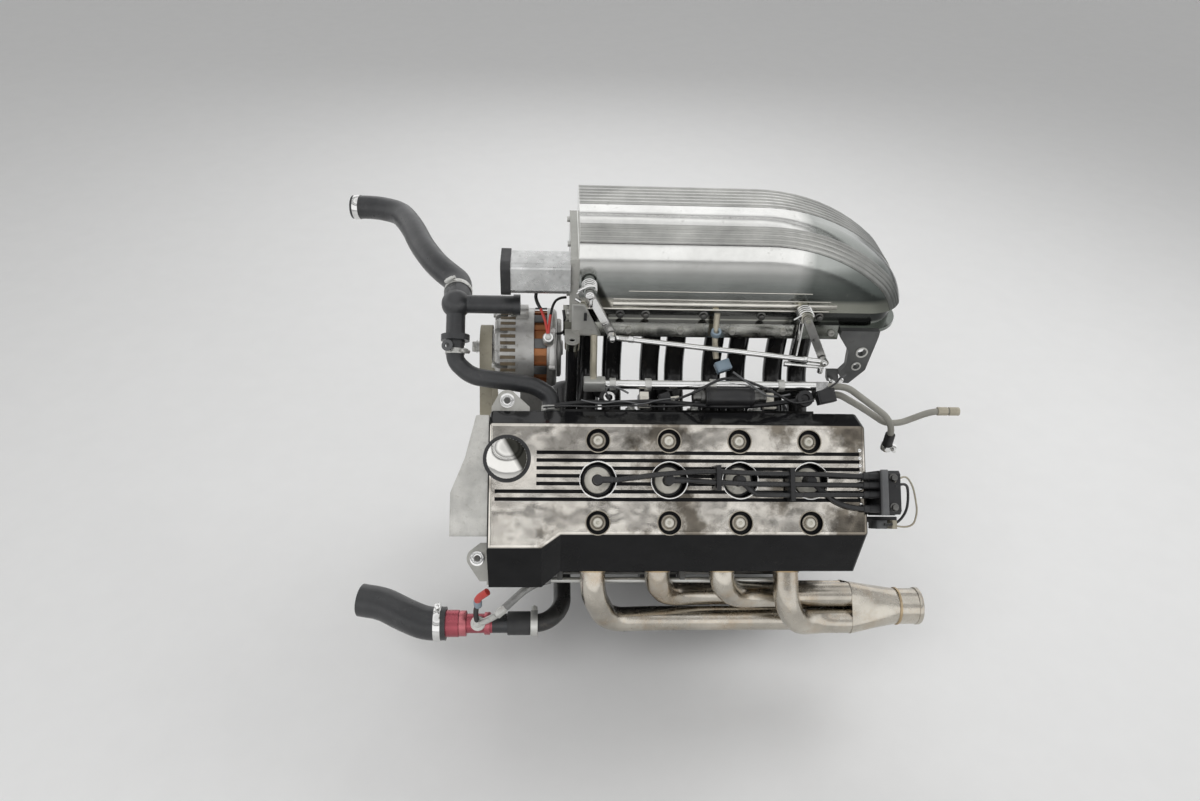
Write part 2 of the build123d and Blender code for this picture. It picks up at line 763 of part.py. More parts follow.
with BuildPart() as alternator_windings:
    with BuildSketch(ACROSS.offset(windows_front_x + free_clearance)):
        with Locations((alternator_v, alternator_w)):
            Circle(alternator_radius - winding_inset)
            Circle(alternator_core_radius + free_clearance, mode=Mode.SUBTRACT)
    extrude(amount=windows_rear_x - windows_front_x - 2 * free_clearance)
    with BuildSketch(ACROSS.offset(windows_front_x)):
        with Locations((alternator_v, alternator_w)):
            with PolarLocations(alternator_radius - winding_inset, alternator_window_count):
                Rectangle(alternator_window_height, alternator_window_width)
    extrude(amount=windows_rear_x - windows_front_x, mode=Mode.SUBTRACT)
finish(alternator_windings, "alternator_windings")

with BuildPart() as alternator_pulley:
    with BuildSketch(ACROSS.offset(belt_front_x)):
        with Locations((alternator_v, alternator_w)):
            Circle(alternator_pulley_radius)
    extrude(amount=belt_width)
    with BuildSketch(ACROSS.offset(belt_front_x - shaft_end_reach)):
        with Locations((alternator_v, alternator_w)):
            Circle(pulley_shaft_radius)
    extrude(amount=alternator_front_x + shaft_depth - belt_front_x)
finish(alternator_pulley, "alternator_pulley")

bracket_arm_start = 10.0
bracket_arm_thickness = 36.0
bracket_arm_drop = 5.0
bracket_arm_foot = 80.0
bracket_arm_reach = 40.0
bracket_arm_rise = 10.0
bracket_arm_outline = [
    (block_half_width, deck_w - bracket_arm_drop - bracket_arm_foot),
    (block_half_width, deck_w - bracket_arm_drop),
    (alternator_v - bracket_arm_reach, alternator_w + bracket_arm_rise),
    (alternator_v - bracket_arm_reach / 2, alternator_w - bracket_arm_reach),
]
with BuildPart() as alternator_bracket:
    with BuildSketch(ACROSS.offset(block_front_x + bracket_arm_start)):
        with BuildLine():
            Polyline(*bracket_arm_outline, close=True)
        make_face()
        with Locations((alternator_v, alternator_w)):
            Circle(alternator_radius, mode=Mode.SUBTRACT)
    extrude(amount=bracket_arm_thickness)
finish(alternator_bracket, "alternator_bracket")

# Belt round the three pulleys
belt_pulleys = [
    (0.0, 0.0, crank_pulley_radius),
    (pump_v, pump_w, pump_pulley_radius),
    (alternator_v, alternator_w, alternator_pulley_radius),
]
with BuildPart() as drive_belt:
    with BuildSketch(ACROSS.offset(belt_front_x)) as belt_outer:
        for v, w, r in belt_pulleys:
            with Locations((v, w)):
                Circle(r + free_clearance + belt_thickness)
        make_hull()
    extrude(amount=belt_width)
    with BuildSketch(ACROSS.offset(belt_front_x)) as belt_inner:
        for v, w, r in belt_pulleys:
            with Locations((v, w)):
                Circle(r + free_clearance)
        make_hull()
    extrude(amount=belt_width, mode=Mode.SUBTRACT)
finish(drive_belt, "drive_belt")

# Intake runners: a pair for each cylinder up to the plenum's flange, and an upright stay in front
runner_top_z = plenum_bottom_z + plenum_flange_above - plenum_flange_thickness
flange_v = head_intake_v + intake_flange_thickness
runner_top_v = bank_v(runner_y, runner_top_z)
runner_top_w = bank_w(runner_y, runner_top_z)
runner_corner_v = runner_top_v - (runner_top_w - port_w) * lean_sin / lean_cos
runner_places = [x + side * runner_half_pitch for x in ports for side in (-1, 1)]
lug_bottom_z = plenum_bottom_z - lug_drop - lug_thickness
stay_foot_z = row_z(head_intake_v, port_w) + stay_foot_rise
intake_flange_rear_x = ports[0] + runner_half_pitch + runner_radius + intake_flange_end
intake_flange_front_x = stay_x - stay_radius - intake_flange_end
with BuildPart() as intake_runners:
    with BuildSketch(SIDE.offset(-head_intake_v)):
        with Locations(((intake_flange_front_x + intake_flange_rear_x) / 2, port_w)):
            Rectangle(intake_flange_rear_x - intake_flange_front_x, intake_flange_height)
    extrude(amount=-intake_flange_thickness)
    for tube_x in runner_places:
        tube_route = [(flange_v, port_w), (runner_corner_v, port_w), (runner_top_v, runner_top_w)]
        add_tube(ACROSS.offset(tube_x), tube_route, bend_radii(tube_route, runner_bend_share), runner_radius)
    with BuildSketch(Plane.XY.offset(stay_foot_z)):
        with Locations((stay_x, lug_y)):
            Circle(stay_radius)
    extrude(amount=lug_bottom_z - stay_foot_z)
finish(intake_runners, "intake_runners")

# Plenum: a shell whose nose rolls down behind in two arcs, on an inset foot and a flange
shell_bottom_z = plenum_bottom_z + plenum_foot_height
nose_top_centre_z = plenum_top_z - nose_top_radius
nose_end_x = nose_start_x + (nose_top_radius - nose_end_radius) * sin(radians(nose_turn))
nose_end_z = nose_top_centre_z + (nose_top_radius - nose_end_radius) * cos(radians(nose_turn))
shelf_inset = 4.0
pivot_boss_depth = 30.0
pivot_boss_wall = 3.0
lever_gap = 1.0
nose_foot_angle = degrees(asin((shell_bottom_z - nose_end_z) / nose_end_radius))
shelf_rear_x = nose_end_x + nose_end_radius - shelf_inset
shelf_thickness = 6.0
with BuildPart() as plenum:
    with BuildSketch(Plane.XZ.offset(-plenum_near_y)):
        with BuildLine():
            nose_top = CenterArc((nose_start_x, nose_top_centre_z), nose_top_radius, 90, -nose_turn)
            nose_end = CenterArc(
                (nose_end_x, nose_end_z),
                nose_end_radius,
                90 - nose_turn,
                nose_foot_angle + nose_turn - 90,
            )
            Polyline(
                nose_end @ 1,
                (plenum_front_x, shell_bottom_z),
                (plenum_front_x, plenum_top_z),
                nose_top @ 0,
            )
        make_face()
    extrude(amount=plenum_near_y - plenum_far_y)
    for face_number, roll_radius in [(0, near_roll_radius), (-1, far_roll_radius)]:
        side_edges = plenum.faces().sort_by(Axis.Y)[face_number].edges()
        rolled = [
            edge
            for edge in side_edges
            if edge.center().Z > shell_bottom_z + 1 and edge.center().X > plenum_front_x + 1
        ]
        fillet(rolled, radius=roll_radius)
    with BuildSketch(Plane.XY.offset(plenum_bottom_z)):
        with Locations(
            (
                (plenum_front_x + shelf_rear_x) / 2 - plenum_foot_inset / 2,
                (plenum_near_y + plenum_far_y) / 2,
            )
        ):
            RectangleRounded(
                shelf_rear_x - plenum_front_x - plenum_foot_inset,
                plenum_far_y - plenum_near_y - 2 * plenum_foot_inset,
                near_roll_radius - plenum_foot_inset,
            )
    extrude(amount=plenum_foot_height)
    with BuildSketch(Plane.XY.offset(plenum_bottom_z)):
        with BuildLine():
            Polyline(
                (plenum_flange_rear_x, plenum_far_y - far_roll_radius),
                (plenum_flange_rear_x, plenum_near_y + 1),
                (shelf_rear_x - near_roll_radius, plenum_near_y + 1),
            )
            RadiusArc(
                (shelf_rear_x - near_roll_radius, plenum_near_y + 1),
                (shelf_rear_x, plenum_near_y + 1 + near_roll_radius),
                -near_roll_radius,
            )
            Polyline(
                (shelf_rear_x, plenum_near_y + 1 + near_roll_radius),
                (shelf_rear_x, plenum_far_y - far_roll_radius),
                (plenum_flange_rear_x, plenum_far_y - far_roll_radius),
            )
        make_face()
    extrude(amount=-shelf_thickness)
    with BuildSketch(Plane.XY.offset(runner_top_z)):
        with Locations(
            (
                (plenum_flange_front_x + plenum_flange_rear_x) / 2,
                (plenum_flange_near_y + plenum_flange_far_y) / 2,
            )
        ):
            Rectangle(
                plenum_flange_rear_x - plenum_flange_front_x,
                plenum_flange_far_y - plenum_flange_near_y,
            )
    extrude(amount=plenum_flange_thickness)
    with BuildSketch(Plane.YZ.offset(plenum_front_x)):
        end_plate_middle = ((end_plate_near_y + end_plate_far_y) / 2, (end_plate_bottom_z + end_plate_top_z) / 2)
        with Locations(end_plate_middle):
            Rectangle(end_plate_far_y - end_plate_near_y, end_plate_top_z - end_plate_bottom_z)
    extrude(amount=-end_plate_thickness)
    with BuildSketch(Plane.XY.offset(lug_bottom_z)):
        with Locations((stay_x, lug_y)):
            Circle(lug_radius)
        with Locations((stay_x, (lug_y + lug_root_y) / 2)):
            Rectangle(2 * lug_radius, lug_root_y - lug_y)
        with Locations((stay_x, lug_y)):
            Circle(lug_hole_radius, mode=Mode.SUBTRACT)
    extrude(amount=lug_thickness)
    for pivot_x, pivot_z in [(front_pivot_x, front_pivot_z), (rear_pivot_x, rear_pivot_z)]:
        with BuildSketch(Plane.XZ.offset(-plenum_near_y - pivot_boss_depth)):
            with Locations((pivot_x, pivot_z)):
                Circle(lever_width / 2 + pivot_boss_wall)
        extrude(amount=-lever_y - lever_thickness / 2 - lever_gap + plenum_near_y + pivot_boss_depth)
        with BuildSketch(Plane.XZ.offset(-plenum_near_y)):
            with Locations((pivot_x, pivot_z)):
                Circle(pivot_pin_radius)
        extrude(amount=-lever_y + lever_thickness / 2 + lever_gap + plenum_near_y)
finish(plenum, "plenum")

# Rear bracket: a hooked plate under the plenum's nose, with two bolt holes
bracket_outline = [
    (1.0, 0.0),
    (60.0, 0.0),
    (60.0, -10.0),
    (53.0, -71.0),
    (32.0, -97.0),
    (-3.0, -93.0),
    (-6.0, -76.0),
    (13.0, -76.0),
    (21.0, -64.0),
    (19.0, -36.0),
    (1.0, -11.0),
]
bracket_thickness = 10.0
bracket_holes = [(40.0, -38.0, 6.5), (37.0, -64.0, 5.0)]
bracket_top_z = plenum_bottom_z + 4.0
with BuildPart() as rear_bracket:
    with BuildSketch(Plane.XZ.offset(-plenum_near_y - 1)):
        with BuildLine():
            Polyline(
                *[(plenum_flange_rear_x + x, bracket_top_z + z) for x, z in bracket_outline],
                close=True,
            )
        make_face()
        for hole_x, hole_z, hole_radius in bracket_holes:
            with Locations((plenum_flange_rear_x + hole_x, bracket_top_z + hole_z)):
                Circle(hole_radius, mode=Mode.SUBTRACT)
    extrude(amount=bracket_thickness)
finish(rear_bracket, "rear_bracket")

with BuildPart() as inlet_duct:
    duct_back_x = plenum_front_x - end_plate_thickness
    with BuildSketch(Plane.YZ.offset(duct_front_x)):
        with Locations(((duct_near_y + duct_far_y) / 2, (duct_bottom_z + duct_top_z) / 2)):
            RectangleRounded(duct_far_y - duct_near_y, duct_top_z - duct_bottom_z, duct_edge_radius)
            RectangleRounded(
                duct_far_y - duct_near_y - 2 * duct_wall,
                duct_top_z - duct_bottom_z - 2 * duct_wall,
                duct_bore_edge_radius,
                mode=Mode.SUBTRACT,
            )
    extrude(amount=duct_back_x - duct_front_x)
finish(inlet_duct, "inlet_duct")

with BuildPart() as inlet_boot:
    with BuildSketch(Plane.YZ.offset(duct_front_x - boot_end_length)):
        with Locations(((duct_near_y + duct_far_y) / 2, (duct_bottom_z + duct_top_z) / 2)):
            RectangleRounded(
                duct_far_y - duct_near_y + 2 * boot_lip,
                duct_top_z - duct_bottom_z + 2 * boot_lip,
                duct_edge_radius + boot_lip,
            )
            RectangleRounded(
                duct_far_y - duct_near_y - 2 * duct_wall,
                duct_top_z - duct_bottom_z - 2 * duct_wall,
                duct_bore_edge_radius,
                mode=Mode.SUBTRACT,
            )
    extrude(amount=boot_end_length)
finish(inlet_boot, "inlet_boot")


# Throttle levers and the rod between them
def lever_outline(pivot_x, pivot_z):
    with BuildSketch(Plane.XZ.offset(-lever_y - lever_thickness / 2)) as outline:
        with Locations((pivot_x, pivot_z), (pivot_x + lever_dx, pivot_z + lever_dz)):
            Circle(lever_width / 2)
        make_hull()
        with Locations((pivot_x, pivot_z)):
            Circle(pivot_pin_radius + running_clearance, mode=Mode.SUBTRACT)
    return outline.sketch


with BuildPart() as front_lever:
    extrude(lever_outline(front_pivot_x, front_pivot_z), amount=lever_thickness)
    with BuildSketch(Plane.XZ.offset(-lever_y + lever_thickness / 2)):
        with Locations((front_pivot_x + lever_dx, front_pivot_z + lever_dz)):
            Circle(rod_pin_radius)
    extrude(amount=rod_pin_length)
finish(front_lever, "front_lever")

with BuildPart() as rear_lever:
    extrude(lever_outline(rear_pivot_x, rear_pivot_z), amount=lever_thickness)
    with BuildSketch(Plane.XZ.offset(-lever_y + lever_thickness / 2)):
        with Locations((rear_pivot_x + lever_dx, rear_pivot_z + lever_dz)):
            Circle(rod_pin_radius)
    extrude(amount=rod_pin_length)
finish(rear_lever, "rear_lever")

rod_front = (front_pivot_x + lever_dx, front_pivot_z + lever_dz)
rod_rear = (rear_pivot_x + lever_dx, rear_pivot_z + lever_dz)
with BuildPart() as throttle_rod:
    rod_start = Vector(rod_front[0], rod_y, rod_front[1])
    rod_end = Vector(rod_rear[0], rod_y, rod_rear[1])
    with BuildSketch(Plane(origin=rod_start, z_dir=rod_end - rod_start)):
        Circle(rod_radius)
    extrude(amount=(rod_end - rod_start).length)
    for eye_x, eye_z, eye_clearance in [(*rod_front, running_clearance), (*rod_rear, rod_eye_play)]:
        with BuildSketch(Plane.XZ.offset(-rod_y - rod_eye_thickness / 2)):
            with Locations((eye_x, eye_z)):
                Circle(rod_pin_radius + rod_eye_wall)
        extrude(amount=rod_eye_thickness)
        with BuildSketch(Plane.XZ.offset(-rod_y - rod_eye_thickness / 2)):
            with Locations((eye_x, eye_z)):
                Circle(rod_pin_radius + eye_clearance)
        extrude(amount=rod_eye_thickness, mode=Mode.SUBTRACT)
finish(throttle_rod, "throttle_rod")

# Fuel rail on the injectors, and the damper beside it
rail_front_x = ports[-1] - rail_overhang
rail_rear_x = ports[0] + rail_overhang
injector_foot = 8.0
with BuildPart() as injectors:
    with BuildSketch(BANK.offset(port_w + injector_foot)):
        with Locations([(x, rail_v) for x in ports]):
            Circle(injector_radius)
    extrude(amount=rail_rise - injector_foot)
    add(intake_runners.part, mode=Mode.SUBTRACT)
    with BuildSketch(ACROSS.offset(rail_front_x)):
        with Locations((rail_v, rail_height_w)):
            Circle(rail_radius)
    extrude(amount=rail_rear_x - rail_front_x, mode=Mode.SUBTRACT)
finish(injectors, "injectors")

with BuildPart() as fuel_rail:
    with BuildSketch(ACROSS.offset(rail_front_x)):
        with Locations((rail_v, rail_height_w)):
            Circle(rail_radius)
    extrude(amount=rail_rear_x - rail_front_x)
    with BuildSketch(ACROSS.offset(rail_rear_x)):
        with Locations((rail_v + rail_block_width / 2 - rail_block_width, rail_height_w - rail_block_drop)):
            Rectangle(2 * rail_block_width, 2 * rail_block_width)
    extrude(amount=rail_block_length)
finish(fuel_rail, "fuel_rail")

with BuildPart() as fuel_damper:
    with BuildSketch(ACROSS.offset(damper_x - damper_length / 2)):
        with Locations((damper_v, damper_w)):
            Circle(damper_radius)
    extrude(amount=damper_length)
finish(fuel_damper, "fuel_damper")

# Two light hoses from the rail's block to the rear, the second passing in front of the first
hose_start_x = rail_rear_x + rail_block_length
feed_y = row_y(rail_v - 10, rail_height_w - 12)
feed_z = row_z(rail_v - 10, rail_height_w - 12)
return_y = row_y(rail_v, rail_height_w)
return_z = row_z(rail_v, rail_height_w)
light_hose_radius = 5.0
feed_route = [
    (hose_start_x, feed_y, feed_z),
    (hose_start_x + 22, feed_y, feed_z),
    (31, -152, 314),
    (74, -150, 283),
    (98, -150, 283),
    (142, -150, 307),
    (178, -150, 307),
]
return_route = [
    (hose_start_x, return_y, return_z),
    (hose_start_x + 30, return_y, return_z),
    (66, -167, 309),
    (80, -167, 285),
    (80, -167, 242),
]
with BuildPart() as light_hoses:
    for route in (feed_route, return_route):
        add_tube(Plane.XY, route, bend_radii(route), light_hose_radius)
finish(light_hoses, "light_hoses")

# Exhaust header: a flange, four primaries and a collector
lane_top_w = 240.0
lane_low_w = 200.0
lane_near_v = -212.0
lane_far_v = -172.0
header_flange_end = 38.0
header_flange_height = 54.0
collector_side = 80.0
out_v = -head_exhaust_v - header_flange_thickness
header_routes = [
    [
        (cylinders[3], out_v, exhaust_port_w),
        (cylinders[3], out_v - 50, exhaust_port_w - 6),
        (cylinders[3] + 25, lane_near_v, lane_low_w + 20),
        (cylinders[3] + 90, lane_near_v, lane_low_w),
        (collector_front_x, lane_near_v, lane_low_w),
    ],
    [
        (cylinders[2], out_v, exhaust_port_w),
        (cylinders[2], out_v - 35, exhaust_port_w - 6),
        (cylinders[2] + 22, lane_far_v, lane_low_w + 25),
        (cylinders[2] + 80, lane_far_v, lane_low_w),
        (collector_front_x, lane_far_v, lane_low_w),
    ],
    [
        (cylinders[1], out_v, exhaust_port_w),
        (cylinders[1], out_v - 35, exhaust_port_w),
        (cylinders[1] + 25, lane_far_v, lane_top_w + 14),
        (cylinders[1] + 75, lane_far_v, lane_top_w),
        (collector_front_x, lane_far_v, lane_top_w),
    ],
    [
        (cylinders[0], out_v, exhaust_port_w),
        (cylinders[0], out_v - 65, exhaust_port_w),
        (cylinders[0] + 22, lane_near_v, lane_top_w + 26),
        (cylinders[0] + 62, lane_near_v, lane_top_w),
        (collector_front_x, lane_near_v, lane_top_w),
    ],
]
with BuildPart() as exhaust_header:
    with BuildSketch(SIDE.offset(head_exhaust_v)):
        with Locations(((cylinders[0] + cylinders[-1]) / 2, exhaust_port_w)):
            Rectangle(bore_spacing * (cylinder_count - 1) + 2 * header_flange_end, header_flange_height)
    extrude(amount=header_flange_thickness)
    for route in header_routes:
        add_tube(BANK, route, bend_radii(route), header_tube_radius)
    lane_v = (lane_near_v + lane_far_v) / 2
    lane_w = (lane_top_w + lane_low_w) / 2
    with BuildSketch(ACROSS.offset(collector_front_x)):
        with Locations((lane_v, lane_w)):
            RectangleRounded(collector_side, collector_side, header_tube_radius)
    with BuildSketch(ACROSS.offset(collector_front_x + collector_length)):
        with Locations((lane_v, lane_w)):
            Circle(collector_outlet_radius)
    loft()
    with BuildSketch(ACROSS.offset(collector_front_x + collector_length)):
        with Locations((lane_v, lane_w)):
            Circle(collector_outlet_radius)
    extrude(amount=collector_outlet_length)
    with BuildSketch(ACROSS.offset(collector_front_x + collector_length)):
        with Locations((lane_v, lane_w)):
            Circle(collector_bore_radius)
    extrude(amount=collector_outlet_length, mode=Mode.SUBTRACT)
finish(exhaust_header, "exhaust_header")

# Lifting eyes: flat tabs that narrow from a wide foot to a round eye
eye_hole_radius = 7.0
eye_radius = 15.0
eye_thickness = 5.0
eye_foot_width = 7.0
far_eye_x = cover_front_x + 23.0
far_eye_v = cover_lip_far_v + 16.0
far_eye_w = cover_lip_w + 15.0
far_foot_length = 54.0
far_foot_shift = 5.0
near_eye_x = cover_front_x - 18.0
near_eye_v = -110.0
near_eye_w = head_top_w - eye_thickness
near_strip_x = near_eye_x + 9.0
near_strip_v = near_eye_v - 5.0
near_strip_width = 10.0
near_strip_length = 54.0
near_foot_x = cover_front_x + 21.0
near_foot_length = 50.0
near_foot_width = 18.0
near_foot_v = -cover_lip_near_v - 11.0
with BuildPart() as lifting_eyes:
    with BuildSketch(BANK.offset(far_eye_w)):
        with Locations((far_eye_x, far_eye_v)):
            Circle(eye_radius)
        with Locations((far_eye_x + far_foot_shift, cover_lip_far_v + eye_foot_width / 2)):
            Rectangle(far_foot_length, eye_foot_width)
        make_hull()
        with Locations((far_eye_x, far_eye_v)):
            Circle(eye_hole_radius, mode=Mode.SUBTRACT)
    extrude(amount=eye_thickness)
    with BuildSketch(BANK.offset(near_eye_w)):
        with Locations((near_eye_x, near_eye_v)):
            Circle(eye_radius)
        with Locations((near_strip_x, near_strip_v)):
            Rectangle(near_strip_width, near_strip_length)
        make_hull()
        with Locations((near_eye_x, near_eye_v)):
            Circle(eye_hole_radius, mode=Mode.SUBTRACT)
        with Locations((near_foot_x, near_foot_v)):
            Rectangle(near_foot_length, near_foot_width)
    extrude(amount=eye_thickness)
finish(lifting_eyes, "lifting_eyes")

# Coolant joint in front of the head, with a neck for each hose
joint_reach = 57.0
joint_x = cover_front_x - joint_reach
joint_drop = 5.0
joint_w = head_top_w - joint_drop
joint_radius = 14.0
joint_low_v = 200.0
joint_high_v = 262.0
upper_radius = 20.0
upper_bore = 16.0
joint_y = row_y(joint_high_v, joint_w)
joint_z = row_z(joint_high_v, joint_w)
joint_arm_length = 30.0
joint_arm_y = joint_y + joint_arm_length
side_arm_radius = 13.5
joint_ball_radius = upper_radius + 1.5
side_arm_cap_wall = 2.0
side_arm_length = 95.0
side_arm_cap = 10.0
joint_flange_radius = 21.0
joint_flange_start = 6.0
joint_flange_length = 9.0
with BuildPart() as coolant_joint:
    with BuildSketch(SIDE.offset(-joint_low_v)):
        with Locations((joint_x, joint_w)):
            Circle(joint_radius)
    extrude(amount=-(joint_high_v - joint_low_v))
    with Locations((joint_x, joint_y, joint_z)):
        Sphere(joint_ball_radius)
    with BuildSketch(Plane.XZ.offset(-joint_arm_y)):
        with Locations((joint_x, joint_z)):
            Circle(upper_radius)
    extrude(amount=joint_arm_y - joint_y)
    with BuildSketch(Plane.YZ.offset(joint_x + joint_flange_start)):
        with Locations((joint_y, joint_z)):
            Circle(side_arm_radius)
    extrude(amount=side_arm_length - joint_flange_start)
    with BuildSketch(Plane.YZ.offset(joint_x + side_arm_length - side_arm_cap)):
        with Locations((joint_y, joint_z)):
            Circle(side_arm_radius + side_arm_cap_wall)
    extrude(amount=side_arm_cap)
    with BuildSketch(SIDE.offset(-joint_low_v - joint_flange_start)):
        with Locations((joint_x, joint_w)):
            Circle(joint_flange_radius)
    extrude(amount=-joint_flange_length)
finish(coolant_joint, "coolant_joint")

# Bypass hose from the joint back along the head's intake side
bypass_radius = 13.0
bypass_route = [
    (joint_x, joint_low_v, joint_w),
    (joint_x, 176, joint_w),
    (joint_x + 24, 154, joint_w),
    (joint_x + 72, 147, joint_w),
    (joint_x + 117, 142, joint_w - 4),
    (joint_x + 142, 126, joint_w - 9),
    (joint_x + 142, head_intake_v, joint_w - 9),
]
with BuildPart() as bypass_hose:
    add_tube(BANK, bypass_route, bend_radii(bypass_route), bypass_radius)
finish(bypass_hose, "bypass_hose")

# Upper hose, forward to its open end
upper_route = [
    (joint_x, joint_arm_y, joint_z),
    (joint_x, joint_arm_y + 30, joint_z),
    (joint_x - 39, 48, 433),
    (joint_x - 69, 105, 436),
    (joint_x - 93, 170, 438),
    (joint_x - 121, 226, 436),
    (joint_x - 165, 250, 433),
    (joint_x - 207, 256, 430),
]
with BuildPart() as upper_hose:
    add_tube(Plane.XY, upper_route, bend_radii(upper_route), upper_radius, upper_bore)
finish(upper_hose, "upper_hose")

# Lower hose, its bright fitting and the pipe up to the block
lower_z = -10.0
lower_y = -299.0
lower_radius = 26.0
lower_bore = 21.0
fitting_radius = 15.0
coupler_front_x = block_front_x + 1.0
fitting_length = 103.0
fitting_front_x = coupler_front_x - fitting_length
spigot_length = 20.0
lower_route = [
    (fitting_front_x - 140, lower_y + 47, lower_z),
    (fitting_front_x - 104, lower_y + 39, lower_z + 1),
    (fitting_front_x - 66, lower_y + 16, lower_z + 1),
    (fitting_front_x - 32, lower_y, lower_z),
    (fitting_front_x, lower_y, lower_z),
]
with BuildPart() as lower_hose:
    add_tube(Plane.XY, lower_route, bend_radii(lower_route), lower_radius, lower_bore)
finish(lower_hose, "lower_hose")

with BuildPart() as lower_fitting:
    with BuildSketch(Plane.YZ.offset(fitting_front_x)):
        with Locations((lower_y, lower_z)):
            Circle(lower_bore)
    extrude(amount=spigot_length)
    with BuildSketch(Plane.YZ.offset(fitting_front_x)):
        with Locations((lower_y, lower_z)):
            Circle(fitting_radius)
    extrude(amount=coupler_front_x - fitting_front_x)
finish(lower_fitting, "lower_fitting")

pipe_radius = 14.0
pipe_turn_x = block_front_x + 54.0
pipe_entry_x = block_front_x + 80.0
pipe_entry_w = 90.0
pipe_turn = 30.0
pipe_route = [
    (coupler_front_x, lower_y, lower_z),
    (pipe_turn_x, lower_y, lower_z),
    (pipe_entry_x, lower_y + pipe_turn, lower_z),
    (pipe_entry_x, row_y(-block_half_width, pipe_entry_w), row_z(-block_half_width, pipe_entry_w)),
]
with BuildPart() as coolant_pipe:
    add_tube(Plane.XY, pipe_route, bend_radii(pipe_route), pipe_radius)
    split(
        bisect_by=Plane(
            origin=(0, row_y(-block_half_width, 0), row_z(-block_half_width, 0)),
            z_dir=(0, -lean_cos, -lean_sin),
        ),
        keep=Keep.TOP,
    )
finish(coolant_pipe, "coolant_pipe")

# Starter, oil filter and the two engine feet
starter_radius = 38.0
starter_v = 156.0
starter_w = -28.0
starter_length = 150.0
solenoid_radius = 20.0
solenoid_length = 110.0
solenoid_sink = 10.0
starter_edge_radius = 10.0
with BuildPart() as starter:
    with BuildSketch(ACROSS.offset(-bell_flange_thickness)):
        with Locations((starter_v, starter_w)):
            Circle(starter_radius)
    extrude(amount=-starter_length)
    with BuildSketch(ACROSS.offset(-bell_flange_thickness)):
        with Locations((starter_v, starter_w + starter_radius + solenoid_radius - solenoid_sink)):
            Circle(solenoid_radius)
    extrude(amount=-solenoid_length)
    fillet(starter.faces().sort_by(Axis.X)[0].edges(), radius=starter_edge_radius)
finish(starter, "starter")

filter_radius = 40.0
filter_length = 95.0
filter_edge_radius = 12.0
filter_x = block_front_x + 100.0
filter_w = 120.0
with BuildPart() as oil_filter:
    with BuildSketch(SIDE.offset(-block_half_width)):
        with Locations((filter_x, filter_w)):
            Circle(filter_radius)
    extrude(amount=-filter_length)
    fillet(oil_filter.faces().sort_by(Axis.Z)[-1].edges(), radius=filter_edge_radius)
finish(oil_filter, "oil_filter")

foot_x = -260.0
foot_w = 130.0
foot_body_length = 60.0
foot_body_height = 40.0
foot_plate_height = 100.0
foot_length = 100.0
foot_reach = 66.0
foot_plate = 8.0
foot_hole_radius = 6.0
foot_hole_depth = 30.0
with BuildPart() as engine_feet:
    for side in (-1, 1):
        with BuildSketch(SIDE.offset(-side * block_half_width)):
            with Locations((foot_x, foot_w)):
                Rectangle(foot_length, foot_plate_height)
        extrude(amount=-side * foot_plate)
        with BuildSketch(SIDE.offset(-side * (block_half_width + foot_plate))):
            with Locations((foot_x, foot_w)):
                Rectangle(foot_body_length, foot_body_height)
        extrude(amount=-side * foot_reach)
        with BuildSketch(SIDE.offset(-side * (block_half_width + foot_plate + foot_reach))):
            with Locations((foot_x, foot_w)):
                Circle(foot_hole_radius)
        extrude(amount=side * foot_hole_depth, mode=Mode.SUBTRACT)
finish(engine_feet, "engine_feet")
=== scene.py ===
import bpy, math
from mathutils import Matrix, Vector


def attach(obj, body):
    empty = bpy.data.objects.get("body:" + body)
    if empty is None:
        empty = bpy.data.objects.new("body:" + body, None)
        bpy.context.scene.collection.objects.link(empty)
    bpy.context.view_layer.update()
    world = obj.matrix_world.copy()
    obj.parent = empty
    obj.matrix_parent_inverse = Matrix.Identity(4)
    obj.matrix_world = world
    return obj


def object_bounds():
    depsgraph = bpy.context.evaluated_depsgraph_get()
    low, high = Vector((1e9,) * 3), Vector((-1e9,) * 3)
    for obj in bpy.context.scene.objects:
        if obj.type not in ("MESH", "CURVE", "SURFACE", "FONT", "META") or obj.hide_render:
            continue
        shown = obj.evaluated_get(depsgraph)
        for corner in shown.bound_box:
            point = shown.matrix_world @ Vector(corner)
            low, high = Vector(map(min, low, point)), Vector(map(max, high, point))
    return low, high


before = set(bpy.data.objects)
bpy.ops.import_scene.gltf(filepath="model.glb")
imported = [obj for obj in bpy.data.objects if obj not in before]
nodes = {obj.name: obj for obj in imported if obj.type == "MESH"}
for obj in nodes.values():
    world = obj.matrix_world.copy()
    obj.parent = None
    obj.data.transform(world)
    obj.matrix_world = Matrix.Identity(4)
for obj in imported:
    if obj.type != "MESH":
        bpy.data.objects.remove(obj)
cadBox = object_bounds()
print("frame loaded:", len(nodes), "nodes")

# The bank leans 45 degrees: x runs along the crank, v across to the intake side, w up the bores
half = math.sqrt(0.5)
rearward = Vector((1, 0, 0))
forward = Vector((-1, 0, 0))
across = Vector((0, half, half))
upBank = Vector((0, -half, half))
skyward = Vector((0, 0, 1))
nearward = Vector((0, -1, 0))
farward = Vector((0, 1, 0))


def inBank(x, v, w):  # millimetres in the bank to metres in the frame
    return (rearward * x + across * v + upBank * w) / 1000


def inRow(x, y, z):
    return Vector((x, y, z)) / 1000


def onAxes(place, xAxis, yAxis, zAxis):  # lays a piece's own axes along three directions
    return Matrix.Translation(place) @ Matrix((xAxis, yAxis, zAxis)).transposed().to_4x4()


def spoke(degrees, cosAxis, sinAxis):
    turn = math.radians(degrees)
    return cosAxis * math.cos(turn) + sinAxis * math.sin(turn)


def around(count, first=0.0):  # angles evenly round a circle
    return [first + 360 * n / count for n in range(count)]


